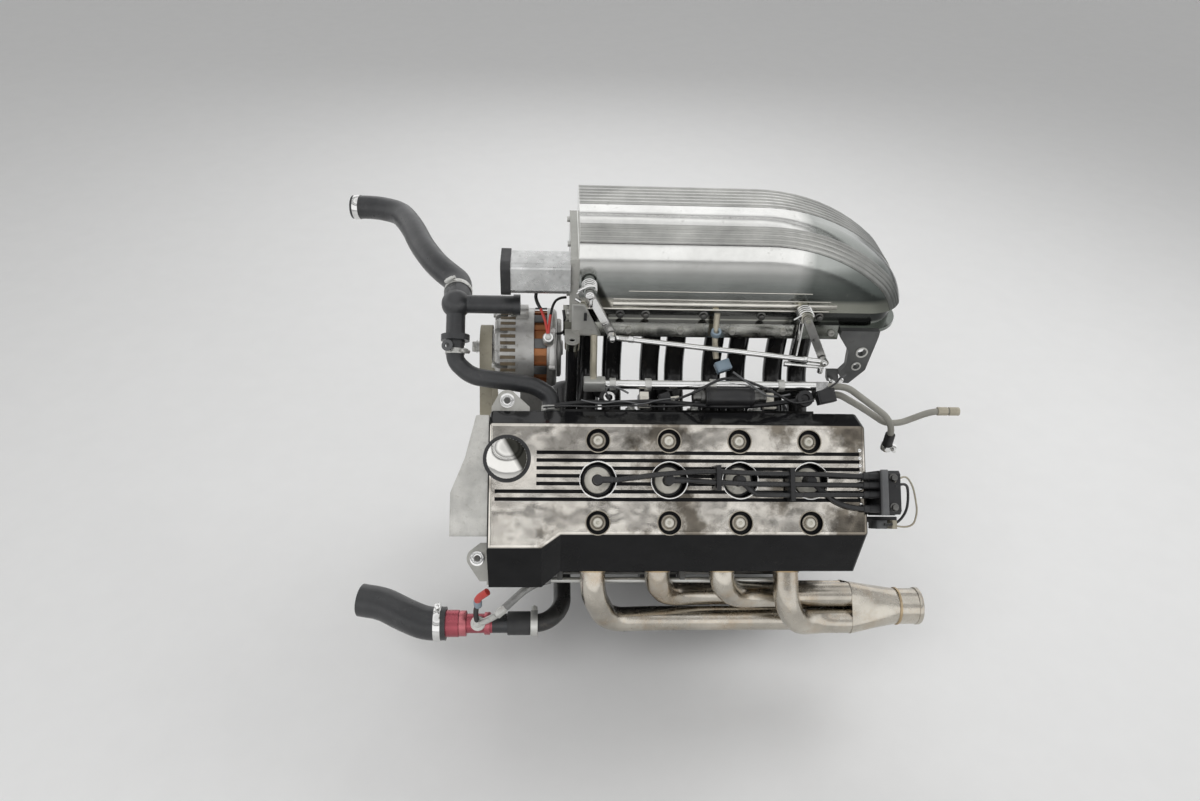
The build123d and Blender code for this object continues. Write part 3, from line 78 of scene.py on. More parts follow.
def ringSpots(centre, radius, turns, cosAxis=farward, sinAxis=skyward):  # points round a centre, with the way out
    outs = [spoke(turn, cosAxis, sinAxis) for turn in turns]
    return [(centre + out * radius / 1000, out) for out in outs]


# The camera stands where the photographer stood
cameraSetup = {
    "place": (-0.441, -1.182, 1.123), "right": (0.998, -0.0378, 0.0420), "up": (-0.010, 0.6136, 0.7890),
    "lens": 26.34, "sensor": 36, "nearest": 0.01,
}
cameraData = bpy.data.cameras.new("photoCamera")
cameraData.lens = cameraSetup["lens"]
cameraData.sensor_width = cameraSetup["sensor"]
cameraData.clip_start = cameraSetup["nearest"]
camera = bpy.data.objects.new("photoCamera", cameraData)
bpy.context.scene.collection.objects.link(camera)
camRight = Vector(cameraSetup["right"]).normalized()
camUp = Vector(cameraSetup["up"])
camUp = (camUp - camRight * camUp.dot(camRight)).normalized()
camera.matrix_world = onAxes(cameraSetup["place"], camRight, camUp, camRight.cross(camUp))
bpy.context.scene.camera = camera
bpy.context.scene.view_settings.view_transform = "Standard"


# Shader building
def link(tree, source, target):
    tree.links.new(source, target)


def setStops(ramp, stops):
    while len(ramp.elements) < len(stops):
        ramp.elements.new(0.5)
    for element, (position, colour) in zip(ramp.elements, stops):
        element.position = position
        element.color = (*colour, 1)


# A soft sky, plain for the light it gives and belted for what the polished metal mirrors
studio = {
    "skyBelts": [
        (0.0, 1.0), (0.56, 1.0), (0.60, 0.30), (0.665, 0.16), (0.672, 1.0), (0.694, 0.95), (0.699, 0.10),
        (0.715, 0.14), (0.720, 1.0), (0.748, 0.9), (0.755, 0.12), (0.78, 0.35), (0.86, 1.0), (0.95, 0.75)],
    "skyStrength": 0.52, "mirrorStrength": 1.15, "paleStrength": 0.80,
    "floorSize": 16, "floorDrop": 0.0005,
    "lamps": [  # place, aim, size, watts
        ((-1.3, -1.7, 2.2), (-0.25, -0.1, 0.2), 1.5, 27),
        ((1.3, 0.4, 1.9), (-0.2, -0.1, 0.2), 1.2, 15),
        ((-0.3, 2.0, 1.6), (-0.25, 0.0, 0.4), 1.4, 14),
    ],
}
world = bpy.data.worlds.new("studioSky")
bpy.context.scene.world = world
world.use_nodes = True
sky = world.node_tree
sky.nodes.clear()
skyCoords = sky.nodes.new("ShaderNodeTexCoord")
skyAxes = sky.nodes.new("ShaderNodeSeparateXYZ")
skyRamp = sky.nodes.new("ShaderNodeValToRGB")
skyRays = sky.nodes.new("ShaderNodeLightPath")
skyOut = sky.nodes.new("ShaderNodeOutputWorld")
setStops(skyRamp.color_ramp, [(position, (grey, grey, grey)) for position, grey in studio["skyBelts"]])
link(sky, skyCoords.outputs["Generated"], skyAxes.inputs[0])
link(sky, skyAxes.outputs["Z"], skyRamp.inputs["Fac"])
backdrops = []
for strength in ("skyStrength", "mirrorStrength", "paleStrength"):
    backdrop = sky.nodes.new("ShaderNodeBackground")
    backdrop.inputs["Strength"].default_value = studio[strength]
    backdrops.append(backdrop)
plain, mirrored, pale = backdrops
link(sky, skyRamp.outputs["Color"], mirrored.inputs["Color"])
shown = plain.outputs[0]
for ray, backdrop in (("Is Glossy Ray", mirrored), ("Is Camera Ray", pale)):
    mix = sky.nodes.new("ShaderNodeMixShader")
    link(sky, skyRays.outputs[ray], mix.inputs[0])
    link(sky, shown, mix.inputs[1])
    link(sky, backdrop.outputs[0], mix.inputs[2])
    shown = mix.outputs[0]
link(sky, shown, skyOut.inputs["Surface"])

for number, (place, aim, size, watts) in enumerate(studio["lamps"]):
    lampData = bpy.data.lights.new(f"softbox{number}", "AREA")
    lampData.shape = "SQUARE"
    lampData.size = size
    lampData.energy = watts
    lamp = bpy.data.objects.new(f"softbox{number}", lampData)
    turn = (Vector(aim) - Vector(place)).to_track_quat("-Z", "Y")
    lamp.matrix_world = Matrix.Translation(place) @ turn.to_matrix().to_4x4()
    lamp.visible_glossy = False
    bpy.context.scene.collection.objects.link(lamp)

bpy.ops.object.select_all(action="DESELECT")
bpy.ops.mesh.primitive_plane_add(size=studio["floorSize"], location=(0, 0, cadBox[0][2] - studio["floorDrop"]))
floor = bpy.context.active_object
floor.name = "studioFloor"
bpy.ops.object.transform_apply(location=True)


def addNoise(tree, coords, scale, detail=3.0, roughness=0.55):
    noise = tree.nodes.new("ShaderNodeTexNoise")
    noise.inputs["Scale"].default_value = scale
    noise.inputs["Detail"].default_value = detail
    noise.inputs["Roughness"].default_value = roughness
    link(tree, coords, noise.inputs["Vector"])
    return noise.outputs["Fac"]


def addRange(tree, value, low, high, toLow, toHigh):
    ranger = tree.nodes.new("ShaderNodeMapRange")
    for socket, number in (("From Min", low), ("From Max", high), ("To Min", toLow), ("To Max", toHigh)):
        ranger.inputs[socket].default_value = number
    link(tree, value, ranger.inputs["Value"])
    return ranger.outputs["Result"]


def addRamp(tree, value, stops, stepped=False):
    ramp = tree.nodes.new("ShaderNodeValToRGB")
    ramp.color_ramp.interpolation = "CONSTANT" if stepped else "LINEAR"
    setStops(ramp.color_ramp, stops)
    link(tree, value, ramp.inputs["Fac"])
    return ramp.outputs["Color"]


def addMix(tree, factor, first, second, blend="MIX"):
    mixer = tree.nodes.new("ShaderNodeMix")
    mixer.data_type = "RGBA"
    mixer.blend_type = blend
    if isinstance(factor, (int, float)):
        mixer.inputs[0].default_value = factor
    else:
        link(tree, factor, mixer.inputs[0])
    link(tree, first, mixer.inputs[6])
    link(tree, second, mixer.inputs[7])
    return mixer.outputs[2]


def addAlong(tree, direction, start, end, top=1):  # 0 at the start and top at the end of a stretch, in metres
    place = tree.nodes.new("ShaderNodeTexCoord")
    reach = tree.nodes.new("ShaderNodeVectorMath")
    reach.operation = "DOT_PRODUCT"
    reach.inputs[1].default_value = direction
    link(tree, place.outputs["Object"], reach.inputs[0])
    return addRange(tree, reach.outputs["Value"], start, end, 0, top)


def addTint(tree, colour, direction, start, end, stops, stepped=False):  # a colour that changes along a direction
    return addMix(tree, 1.0, colour, addRamp(tree, addAlong(tree, direction, start, end), stops, stepped), "MULTIPLY")


def addMottle(tree, value, colour, gain):  # from a colour to a paler one of its kind
    return addRamp(tree, value, [(0.3, colour), (0.7, tuple(c * gain for c in colour))])


def addBump(tree, height, strength, distance):
    bump = tree.nodes.new("ShaderNodeBump")
    bump.inputs["Strength"].default_value = strength
    bump.inputs["Distance"].default_value = distance
    link(tree, height, bump.inputs["Height"])
    return bump


usualLook = {
    "specular": 0.5, "stretch": (1, 1, 1), "patchScale": 18, "grainDetail": 2, "grainHeight": 0.0003,
    "smudgeScale": 60, "layers": (), "films": (), "dirtScale": 95, "dirtFrom": 0.56, "dirtTo": 0.72, "waveScale": 22,
}


# Finishes: patches, grain and uneven gloss in each, with dirt, waves, painted light and shade by height, painted shade
# at one end or bands in some
def finishLook(dark, pale, roughness, metallic, grainScale, grainStrength, dirt=None, dirtAmount=0.0, **more):
    return {**usualLook, "colours": (dark, pale), "roughness": roughness, "metallic": metallic,
            "grainScale": grainScale, "grainStrength": grainStrength, "dirt": dirt, "dirtAmount": dirtAmount, **more}


def newFinish(name, look):
    material = bpy.data.materials.new(name)
    material.use_nodes = True
    tree = material.node_tree
    shader = tree.nodes["Principled BSDF"]
    coords = tree.nodes.new("ShaderNodeTexCoord").outputs["Object"]
    mapping = tree.nodes.new("ShaderNodeMapping")
    mapping.inputs["Scale"].default_value = look["stretch"]
    link(tree, coords, mapping.inputs["Vector"])
    space = mapping.outputs["Vector"]
    patches = addNoise(tree, coords, look["patchScale"], 4)
    fine = addNoise(tree, space, look["grainScale"], look["grainDetail"])
    smudge = addNoise(tree, space, look["smudgeScale"], 4, 0.65)
    dark, pale = look["colours"]
    colour = addRamp(tree, patches, [(0.32, dark), (0.68, pale)])
    if "bands" in look:  # stepped colours along the row
        colour = addTint(tree, colour, rearward, *look["bands"], stepped=True)
    for layer in look["layers"]:  # painted light and shade, smoothly along a direction
        colour = addTint(tree, colour, *layer)
    for direction, low, high, tint in look["films"]:  # painted shade that darkens one end of a piece
        colour = addTint(tree, colour, direction, low, high, [(0.0, tint), (1.0, (1, 1, 1))])
    if look["dirt"]:
        spots = addNoise(tree, coords, look["dirtScale"], 5, 0.7)
        mask = addRange(tree, spots, look["dirtFrom"], look["dirtTo"], 0, look["dirtAmount"])
        colour = addMix(tree, mask, colour, addMottle(tree, fine, look["dirt"], 1.4))
    link(tree, colour, shader.inputs["Base Color"])
    link(tree, addRange(tree, smudge, 0.3, 0.7, *look["roughness"]), shader.inputs["Roughness"])
    normal = addBump(tree, fine, look["grainStrength"], look["grainHeight"]).outputs["Normal"]
    if "waveHeight" in look:  # hand polishing and castings are never quite flat
        waves = addBump(tree, addNoise(tree, coords, look["waveScale"], 2), 1.0, look["waveHeight"])
        link(tree, normal, waves.inputs["Normal"])
        normal = waves.outputs["Normal"]
    link(tree, normal, shader.inputs["Normal"])
    shader.inputs["Metallic"].default_value = look["metallic"]
    shader.inputs["Specular IOR Level"].default_value = look["specular"]
    return material


capMiddle = inBank(-500, 28, 440)
capShade = forward * 0.85 - across * 0.5  # painted shade: the cap is painted dark towards the other way
shadeLine = capShade.dot(capMiddle)

plenumPaintedLight = [  # painted light and shade by height in the shell: height from its foot to its top, and tint
    (0.0, (0.80, 0.80, 0.77)), (0.16, (0.95, 0.95, 0.92)), (0.18, (0.20, 0.20, 0.20)), (0.29, (0.20, 0.20, 0.20)),
    (0.31, (1.0, 0.97, 0.88)), (0.40, (0.95, 0.92, 0.84)), (0.45, (0.26, 0.27, 0.265)), (0.60, (0.34, 0.36, 0.355)),
    (0.72, (0.52, 0.53, 0.525)), (0.80, (0.96, 0.96, 0.96)), (1.0, (1.0, 1.0, 1.0)),
]
# painted shade: the plenum is darker towards its rear nose and at its front end plate
plenumPaintedShade = [
    (forward, 0.062, 0.085, (0.46, 0.48, 0.47)), (forward, -0.08, 0.05, (0.45, 0.47, 0.47)),
    (rearward, -0.4045, -0.4030, (0.42, 0.42, 0.40)),
]
finishLooks = {  # dark, pale, roughness, metallic, grain scale, grain strength, dirt, amount of dirt
    "floorPaper": finishLook((0.855, 0.855, 0.85), (0.87, 0.87, 0.865), (0.75, 0.9), 0, 900, 0.05),
    "enginePaint": finishLook((0.040, 0.042, 0.045), (0.068, 0.070, 0.074), (0.38, 0.62), 0, 420, 0.5,
        (0.06, 0.045, 0.032), 0.55, grainHeight=0.0006),
    "panPaint": finishLook((0.013, 0.013, 0.014), (0.03, 0.03, 0.031), (0.3, 0.52), 0, 600, 0.2, (0.07, 0.06, 0.05),
        0.25),
    "castAluminium": finishLook((0.40, 0.395, 0.38), (0.60, 0.595, 0.58), (0.38, 0.58), 0.85, 700, 0.55,
        (0.10, 0.085, 0.06), 0.5, grainHeight=0.0005),
    "headAluminium": finishLook((0.13, 0.128, 0.12), (0.24, 0.235, 0.22), (0.42, 0.62), 0.8, 600, 0.5,
        (0.05, 0.042, 0.03), 0.6, grainHeight=0.0005),
    "sandCast": finishLook((0.50, 0.495, 0.47), (0.70, 0.69, 0.655), (0.55, 0.8), 0.25, 430, 1.0, (0.26, 0.25, 0.21),
        0.45, patchScale=34, grainDetail=5, grainHeight=0.0012, dirtScale=150),
    # painted light and shade on the plenum: bright and dark bands by height, and painted shade at its ends
    "polished": finishLook((0.70, 0.70, 0.68), (0.84, 0.84, 0.82), (0.09, 0.22), 1.0, 160, 0.12, (0.22, 0.21, 0.19),
        0.3, dirtFrom=0.6, stretch=(1, 14, 14), grainHeight=0.0002, smudgeScale=16, waveHeight=0.0005, waveScale=9,
        layers=[(skyward, 0.394, 0.544, plenumPaintedLight)], films=plenumPaintedShade),
    # painted shade: the reeds are darker towards the rear nose
    "reeded": finishLook((0.36, 0.36, 0.345), (0.54, 0.54, 0.515), (0.26, 0.40), 1.0, 160, 0.2, stretch=(1, 20, 20),
        films=[(forward, -0.08, 0.085, (0.24, 0.25, 0.25))]),
    # painted shade: the beads are darker towards the rear nose
    "beadMetal": finishLook((0.60, 0.58, 0.53), (0.78, 0.76, 0.70), (0.14, 0.28), 1.0, 160, 0.15, stretch=(1, 14, 14),
        films=[(forward, -0.02, 0.10, (0.35, 0.35, 0.34))]),
    "plateGrey": finishLook((0.36, 0.355, 0.33), (0.50, 0.495, 0.465), (0.45, 0.62), 0.4, 620, 0.5,
        (0.16, 0.15, 0.125), 0.45),
    "bracketSteel": finishLook((0.085, 0.087, 0.088), (0.15, 0.152, 0.15), (0.34, 0.52), 0.7, 620, 0.4,
        (0.05, 0.045, 0.04), 0.4),
    "slotTan": finishLook((0.085, 0.066, 0.042), (0.17, 0.135, 0.09), (0.55, 0.75), 0, 600, 0.4, (0.03, 0.025, 0.02),
        0.5),
    "ductMetal": finishLook((0.46, 0.465, 0.46), (0.74, 0.745, 0.74), (0.2, 0.45), 0.9, 500, 0.3, (0.16, 0.16, 0.15),
        0.45, patchScale=26, waveHeight=0.001, waveScale=30),
    "machined": finishLook((0.40, 0.395, 0.38), (0.56, 0.555, 0.54), (0.25, 0.42), 1.0, 1200, 0.2, (0.12, 0.09, 0.06),
        0.3),
    "chrome": finishLook((0.74, 0.74, 0.73), (0.84, 0.84, 0.83), (0.05, 0.16), 1.0, 900, 0.04, (0.30, 0.29, 0.27),
        0.3, smudgeScale=120, dirtFrom=0.62),
    # painted shade: the cap is painted dark on one side
    "capChrome": finishLook((0.72, 0.71, 0.68), (0.82, 0.81, 0.78), (0.06, 0.14), 1.0, 900, 0.04, waveHeight=0.0006,
        waveScale=30, films=[(capShade, shadeLine - 0.012, shadeLine - 0.006, (0.05, 0.05, 0.045))]),
    "zinc": finishLook((0.52, 0.52, 0.50), (0.68, 0.68, 0.65), (0.30, 0.48), 0.75, 800, 0.35, (0.14, 0.12, 0.09),
        0.35),
    "darkSteel": finishLook((0.10, 0.10, 0.098), (0.19, 0.188, 0.18), (0.3, 0.5), 0.9, 800, 0.3, (0.10, 0.07, 0.045),
        0.45),
    "stainless": finishLook((0.42, 0.39, 0.34), (0.60, 0.565, 0.50), (0.16, 0.32), 1.0, 700, 0.16, (0.34, 0.23, 0.12),
        0.65, dirtScale=14, dirtFrom=0.48, dirtTo=0.75),
    "heatTint": finishLook((0.36, 0.26, 0.15), (0.55, 0.44, 0.29), (0.26, 0.42), 1.0, 500, 0.35, (0.16, 0.09, 0.06),
        0.6, dirtScale=50),
    "runnerGloss": finishLook((0.008, 0.008, 0.009), (0.016, 0.0155, 0.015), (0.08, 0.22), 0, 900, 0.08,
        (0.06, 0.045, 0.03), 0.25, specular=0.35, dirtScale=40, waveHeight=0.0008, waveScale=30),
    "rubber": finishLook((0.016, 0.016, 0.017), (0.033, 0.033, 0.034), (0.42, 0.6), 0, 1400, 0.3, (0.08, 0.075, 0.07),
        0.2),
    "hoseRubber": finishLook((0.026, 0.027, 0.029), (0.050, 0.051, 0.053), (0.26, 0.42), 0, 1100, 0.3,
        (0.10, 0.095, 0.09), 0.25),
    "leadRubber": finishLook((0.012, 0.012, 0.013), (0.026, 0.026, 0.027), (0.22, 0.36), 0, 900, 0.12,
        (0.06, 0.058, 0.055), 0.2),
    "plastic": finishLook((0.009, 0.009, 0.010), (0.018, 0.018, 0.019), (0.36, 0.55), 0, 1500, 0.35,
        (0.08, 0.075, 0.065), 0.25),
    "greyPlastic": finishLook((0.085, 0.087, 0.09), (0.15, 0.152, 0.155), (0.4, 0.6), 0, 1200, 0.3),
    "blueGrey": finishLook((0.20, 0.27, 0.33), (0.31, 0.38, 0.44), (0.4, 0.55), 0, 1200, 0.2),
    "cream": finishLook((0.60, 0.575, 0.50), (0.76, 0.735, 0.66), (0.22, 0.4), 0.15, 600, 0.15, (0.22, 0.19, 0.14),
        0.4),
    "bronzeSteel": finishLook((0.30, 0.27, 0.22), (0.46, 0.42, 0.35), (0.22, 0.4), 0.9, 900, 0.2, (0.10, 0.075, 0.05),
        0.55, dirtScale=260),
    "copperWire": finishLook((0.30, 0.12, 0.05), (0.46, 0.20, 0.085), (0.3, 0.45), 0.7, 500, 0.6, stretch=(6, 1, 1),
        grainHeight=0.0006),
    "redAnodised": finishLook((0.42, 0.10, 0.125), (0.60, 0.20, 0.22), (0.22, 0.38), 0.8, 900, 0.15,
        (0.22, 0.14, 0.13), 0.4),
    "fittingBands": finishLook((0.80, 0.80, 0.80), (1.0, 1.0, 1.0), (0.22, 0.4), 0.75, 900, 0.15, (0.10, 0.07, 0.06),
        0.3, bands=(-0.602, -0.499, [(0.0, (0.44, 0.10, 0.125)), (0.70, (0.07, 0.072, 0.075))])),
    "redSleeve": finishLook((0.44, 0.035, 0.03), (0.62, 0.075, 0.06), (0.35, 0.5), 0, 900, 0.1),
    "beltRubber": finishLook((0.30, 0.275, 0.21), (0.42, 0.39, 0.31), (0.6, 0.8), 0, 700, 0.5, (0.05, 0.045, 0.04),
        0.5),
    "paleHose": finishLook((0.24, 0.235, 0.205), (0.36, 0.35, 0.31), (0.36, 0.5), 0, 900, 0.25, (0.10, 0.09, 0.07),
        0.35),
    "dirtyPipe": finishLook((0.022, 0.022, 0.023), (0.05, 0.049, 0.047), (0.22, 0.42), 0.3, 500, 0.3,
        (0.12, 0.10, 0.08), 0.35),
    "tanTube": finishLook((0.36, 0.325, 0.25), (0.50, 0.465, 0.375), (0.32, 0.48), 0.4, 900, 0.2, (0.14, 0.11, 0.08),
        0.4),
    "braid": finishLook((0.20, 0.20, 0.195), (0.34, 0.34, 0.33), (0.4, 0.6), 0.6, 380, 1.0, (0.07, 0.065, 0.06), 0.5,
        grainHeight=0.0012),
}
finishes = {name: newFinish(name, look) for name, look in finishLooks.items()}
floor.data.materials.append(finishes["floorPaper"])

# The cover is polished on its top, with painted dark reflections in patches there, and gloss black on its flanks, in
# its grooves and wells
coverLook = finishLook((0.62, 0.585, 0.53), (0.80, 0.765, 0.705), (0.05, 0.14), 0, 900, 0.05, (0.20, 0.18, 0.15),
                       0.35, dirtScale=34, smudgeScale=28, waveHeight=0.0011, waveScale=17, specular=0.12)
# the flanks' black paint, the edge of the polished top, and painted dark reflections in patches on the top, more of
# them towards the rear end
coverFlankAndPaintedReflections = {
    "flank": (0.006, 0.006, 0.0065), "flankScale": 30, "topEdge": (0.4283, 0.4291), "stain": (0.105, 0.090, 0.070),
    "toneScale": 60, "paintedReflectionScale": 9.5, "paintedReflectionEdge": (0.50, 0.60), "paintedReflectionAmount": 0.9, "rearDarkening": (-0.17, -0.02, 0.09),
}
coverFinish = newFinish("coverPolish", coverLook)
tree = coverFinish.node_tree
shader = tree.nodes["Principled BSDF"]
coords = tree.nodes.new("ShaderNodeTexCoord").outputs["Object"]
topMask = addAlong(tree, upBank, *coverFlankAndPaintedReflections["topEdge"])
blackPaint = addMottle(tree, addNoise(tree, coords, coverFlankAndPaintedReflections["flankScale"]), coverFlankAndPaintedReflections["flank"], 1.7)
# painted reflections: dark patches mixed into the polished top, growing towards the rear end
reflectionPatches = tree.nodes.new("ShaderNodeMath")
link(tree, addNoise(tree, coords, coverFlankAndPaintedReflections["paintedReflectionScale"], 6, 0.62), reflectionPatches.inputs[0])
link(tree, addAlong(tree, rearward, *coverFlankAndPaintedReflections["rearDarkening"]), reflectionPatches.inputs[1])
reflectionMask = addRange(tree, reflectionPatches.outputs[0], *coverFlankAndPaintedReflections["paintedReflectionEdge"], 0, coverFlankAndPaintedReflections["paintedReflectionAmount"])
reflectionColour = addMottle(tree, addNoise(tree, coords, coverFlankAndPaintedReflections["toneScale"]), coverFlankAndPaintedReflections["stain"], 1.8)
polishedColour = addMix(tree, reflectionMask, shader.inputs["Base Color"].links[0].from_socket, reflectionColour)
link(tree, addMix(tree, topMask, blackPaint, polishedColour), shader.inputs["Base Color"])
link(tree, topMask, shader.inputs["Metallic"])

nodesByFinish = {
    "castAluminium": ("alternator", "alternator_bracket", "timing_cover", "water_pump"),
    "machined": ("alternator_pulley", "crank_pulley", "crankshaft", "flywheel", "front_lever", "pump_pulley",
                 "rear_lever"),
    "hoseRubber": ("bypass_hose", "coolant_joint", "lower_hose", "upper_hose"),
    "panPaint": ("engine_feet", "fuel_damper", "oil_filter", "oil_pan", "starter"),
    "plastic": ("ignition_coil", "injectors", "lead_combs"), "rubber": ("inlet_boot", "plug_boots"),
    "chrome": ("fuel_rail", "throttle_rod"), "copperWire": ("alternator_windings",), "enginePaint": ("block",),
    "dirtyPipe": ("coolant_pipe",), "headAluminium": ("cylinder_head",), "beltRubber": ("drive_belt",),
    "stainless": ("exhaust_header",), "sandCast": ("front_casting",), "ductMetal": ("inlet_duct",),
    "runnerGloss": ("intake_runners",), "plateGrey": ("lifting_eyes",), "paleHose": ("light_hoses",),
    "fittingBands": ("lower_fitting",), "capChrome": ("oil_filler_cap",), "polished": ("plenum",),
    "leadRubber": ("plug_leads",), "bracketSteel": ("rear_bracket",),
}


def dress(piece, material):
    if not piece.material_slots:
        piece.data.materials.append(material)
    for slot in piece.material_slots:
        slot.material = material


for finishName, nodeNames in nodesByFinish.items():
    for nodeName in nodeNames:
        dress(nodes[nodeName], finishes[finishName])
dress(nodes["cam_cover"], coverFinish)
print("finishes made:", len(finishes) + 1)


# How pieces are made
makerSizes = {"flatsToCorners": 1.155, "smoothAngle": 35, "wireSmoothAngle": 60, "wireSteps": 6}


def pick(piece):
    bpy.ops.object.select_all(action="DESELECT")
    piece.select_set(True)
    bpy.context.view_layer.objects.active = piece


def addPrimitive(kind, **sizes):
    bpy.ops.object.select_all(action="DESELECT")
    getattr(bpy.ops.mesh, f"primitive_{kind}_add")(**sizes)
    return bpy.context.active_object


def addDrum(radius, depth, base=0.0, sides=24, capped=True):  # millimetres, standing on z = base
    return addPrimitive("cylinder", radius=radius / 1000, depth=depth / 1000, vertices=sides,
                        end_fill_type="NGON" if capped else "NOTHING", location=(0, 0, (base + depth / 2) / 1000))


def flatten(piece):  # place, turn and scale go into the mesh
    pick(piece)
    bpy.ops.object.transform_apply(location=True, rotation=True, scale=True)


def addBlock(length, width, height, base=0.0):
    block = addPrimitive("cube", size=1, location=(0, 0, (base + height / 2) / 1000))
    block.scale = (length / 1000, width / 1000, height / 1000)
    flatten(block)
    return block


def selectFaces(piece, test):
    bpy.ops.object.mode_set(mode="EDIT")
    bpy.ops.mesh.select_mode(type="FACE")
    bpy.ops.mesh.select_all(action="DESELECT")
    bpy.ops.object.mode_set(mode="OBJECT")
    for face in piece.data.polygons:
        face.select = test(face)
    bpy.ops.object.mode_set(mode="EDIT")


def facesUp(face):
    return face.normal.z > 0.9


def insetFaces(piece, test, thickness, depth=0.0, drop=0.0):  # millimetres
    selectFaces(piece, test)
    bpy.ops.mesh.inset(thickness=thickness / 1000, depth=depth / 1000)
    if drop:
        bpy.ops.mesh.extrude_region_move(TRANSFORM_OT_translate={"value": (0, 0, -drop / 1000)})
    bpy.ops.object.mode_set(mode="OBJECT")


def addModifier(piece, kind, **settings):
    pick(piece)
    modifier = piece.modifiers.new(kind.lower(), kind)
    for name, value in settings.items():
        setattr(modifier, name, value)
    bpy.ops.object.modifier_apply(modifier=modifier.name)


def soften(piece, width=0.4, segments=2, angle=40):
    flatten(piece)
    addModifier(piece, "BEVEL", width=width / 1000, segments=segments, limit_method="ANGLE",
                angle_limit=math.radians(angle))
    bpy.ops.object.shade_smooth_by_angle(angle=math.radians(makerSizes["smoothAngle"]))


def shaped(piece, steps, edge=0.0, segments=2):  # the top face goes up or down in rings, (scale, rise), edges eased
    flatten(piece)
    highest = max(v.co.z for v in piece.data.vertices)
    selectFaces(piece, lambda face: facesUp(face) and face.center.z > highest - 1e-5)
    for scale, rise in steps:
        bpy.ops.mesh.extrude_region_move(TRANSFORM_OT_translate={"value": (0, 0, rise / 1000)})
        bpy.ops.transform.resize(value=(scale, scale, 1))
    bpy.ops.object.mode_set(mode="OBJECT")
    if edge:
        soften(piece, edge, segments)
    return piece


def addRing(inner, outer, height, base=0.0, sides=40, edge=0.4):  # a washer or band with eased edges
    band = addDrum(inner, height, base, sides, capped=False)
    flatten(band)
    addModifier(band, "SOLIDIFY", thickness=(outer - inner) / 1000, offset=1)
    soften(band, edge, 2, 60)
    return band


def merge(name, pieces):
    pick(pieces[0])
    for piece in pieces:
        piece.select_set(True)
    if len(pieces) > 1:
        bpy.ops.object.join()
    pieces[0].name = name
    return pieces[0]


def standing(place, axis, spin=0.0):  # local z is laid along the axis, at the place
    turn = axis.normalized().to_track_quat("Z", "Y").to_matrix().to_4x4()
    return Matrix.Translation(place) @ (turn @ Matrix.Rotation(math.radians(spin), 4, "Z"))


def settle(piece, name, finish, slot=None, body="engine"):
    piece.name = name
    piece.data.name = name
    dress(piece, finishes[finish])
    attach(piece, body)


def spreadBy(pattern, name, matrices, finish, slot=None, body="engine"):
    copies = []
    for matrix in matrices:
        twin = pattern.copy()
        twin.data = pattern.data.copy()
        bpy.context.scene.collection.objects.link(twin)
        twin.matrix_world = matrix
        flatten(twin)
        copies.append(twin)
    bpy.data.objects.remove(pattern)
    settle(merge(name, copies), name, finish, slot, body)


def spread(pattern, name, places, *finish, **more):  # places hold (point, axis[, spin])
    spreadBy(pattern, name, [standing(*place) for place in places], *finish, **more)


def standAcross(pattern, name, spots, *finish, **more):  # local x is kept along the row
    spreadBy(pattern, name, [onAxes(place, rearward, out.cross(rearward), out) for place, out in spots],
             *finish, **more)


def seat(nodeName, start, aim):  # where a straight line from the start meets a node
    found, place, _, _ = nodes[nodeName].ray_cast(start, aim)
    if not found:
        print("nothing met on", nodeName, "from", tuple(round(c, 3) for c in start))
    return place if found else None


def seatAll(pattern, name, nodeName, starts, aim, *finish, **more):
    seats = [seat(nodeName, start, aim) for start in starts]
    spread(pattern, name, [(place, -aim) for place in seats if place], *finish, **more)


def hexBolt(acrossFlats, height, washer, washerHeight):
    corners = acrossFlats / 2 * makerSizes["flatsToCorners"]
    head = shaped(addDrum(corners, height, washerHeight, 6), [(0.84, 0.7)], 0.35, 1)
    ring = shaped(addDrum(washer, washerHeight, 0, 20), [(0.97, 0.1)], 0.3, 1)
    return merge("bolt", [head, ring])


def socketBolt(radius, height, recess=2.6, depth=2.5):
    return shaped(addDrum(radius, height, 0, 20), [(0.92, 0.4), (recess / radius / 0.92, 0), (1, -depth)], 0.25, 1)


def bandClamp(radius, width, screwSide=6.5, thickness=1.0):
    band = addRing(radius + 0.3, radius + 0.3 + thickness, width, -width / 2, 40, 0.25)
    box = addBlock(screwSide, screwSide * 1.7, width * 0.86, -width * 0.43)
    box.location = ((radius + thickness + screwSide * 0.42) / 1000, 0, 0)
    soften(box, 0.8, 2)
    screw = shaped(addDrum(screwSide * 0.44, screwSide * 2.6, -screwSide * 1.3, 12), [(0.8, 0.6), (1, 0.8)])
    middle = ((radius + thickness + screwSide * 0.5) / 1000, screwSide * 0.0003, 0)
    screw.matrix_world = Matrix.Translation(middle) @ Matrix.Rotation(math.pi / 2, 4, "X")
    soften(screw, 0.4, 1)
    return merge("clamp", [band, box, screw])


def wire(name, points, radius, *finish, body="engine", curved=True, roundness=3):
    bpy.ops.object.select_all(action="DESELECT")
    bpy.ops.curve.primitive_nurbs_path_add()
    piece = bpy.context.active_object
    piece.data.splines.clear()
    spline = piece.data.splines.new("NURBS" if curved else "POLY")
    spline.points.add(len(points) - 1)
    for target, point in zip(spline.points, points):
        target.co = (*point, 1)
    if curved:
        spline.order_u = 3
        spline.use_endpoint_u = True
    piece.data.resolution_u = makerSizes["wireSteps"]
    piece.data.bevel_depth = radius / 1000
    piece.data.bevel_resolution = roundness
    piece.data.use_fill_caps = True
    piece.matrix_world = Matrix.Identity(4)
    bpy.ops.object.convert(target="MESH")
    piece = bpy.context.active_object
    bpy.ops.object.shade_smooth_by_angle(angle=math.radians(makerSizes["wireSmoothAngle"]))
    settle(piece, name, *finish, body=body)


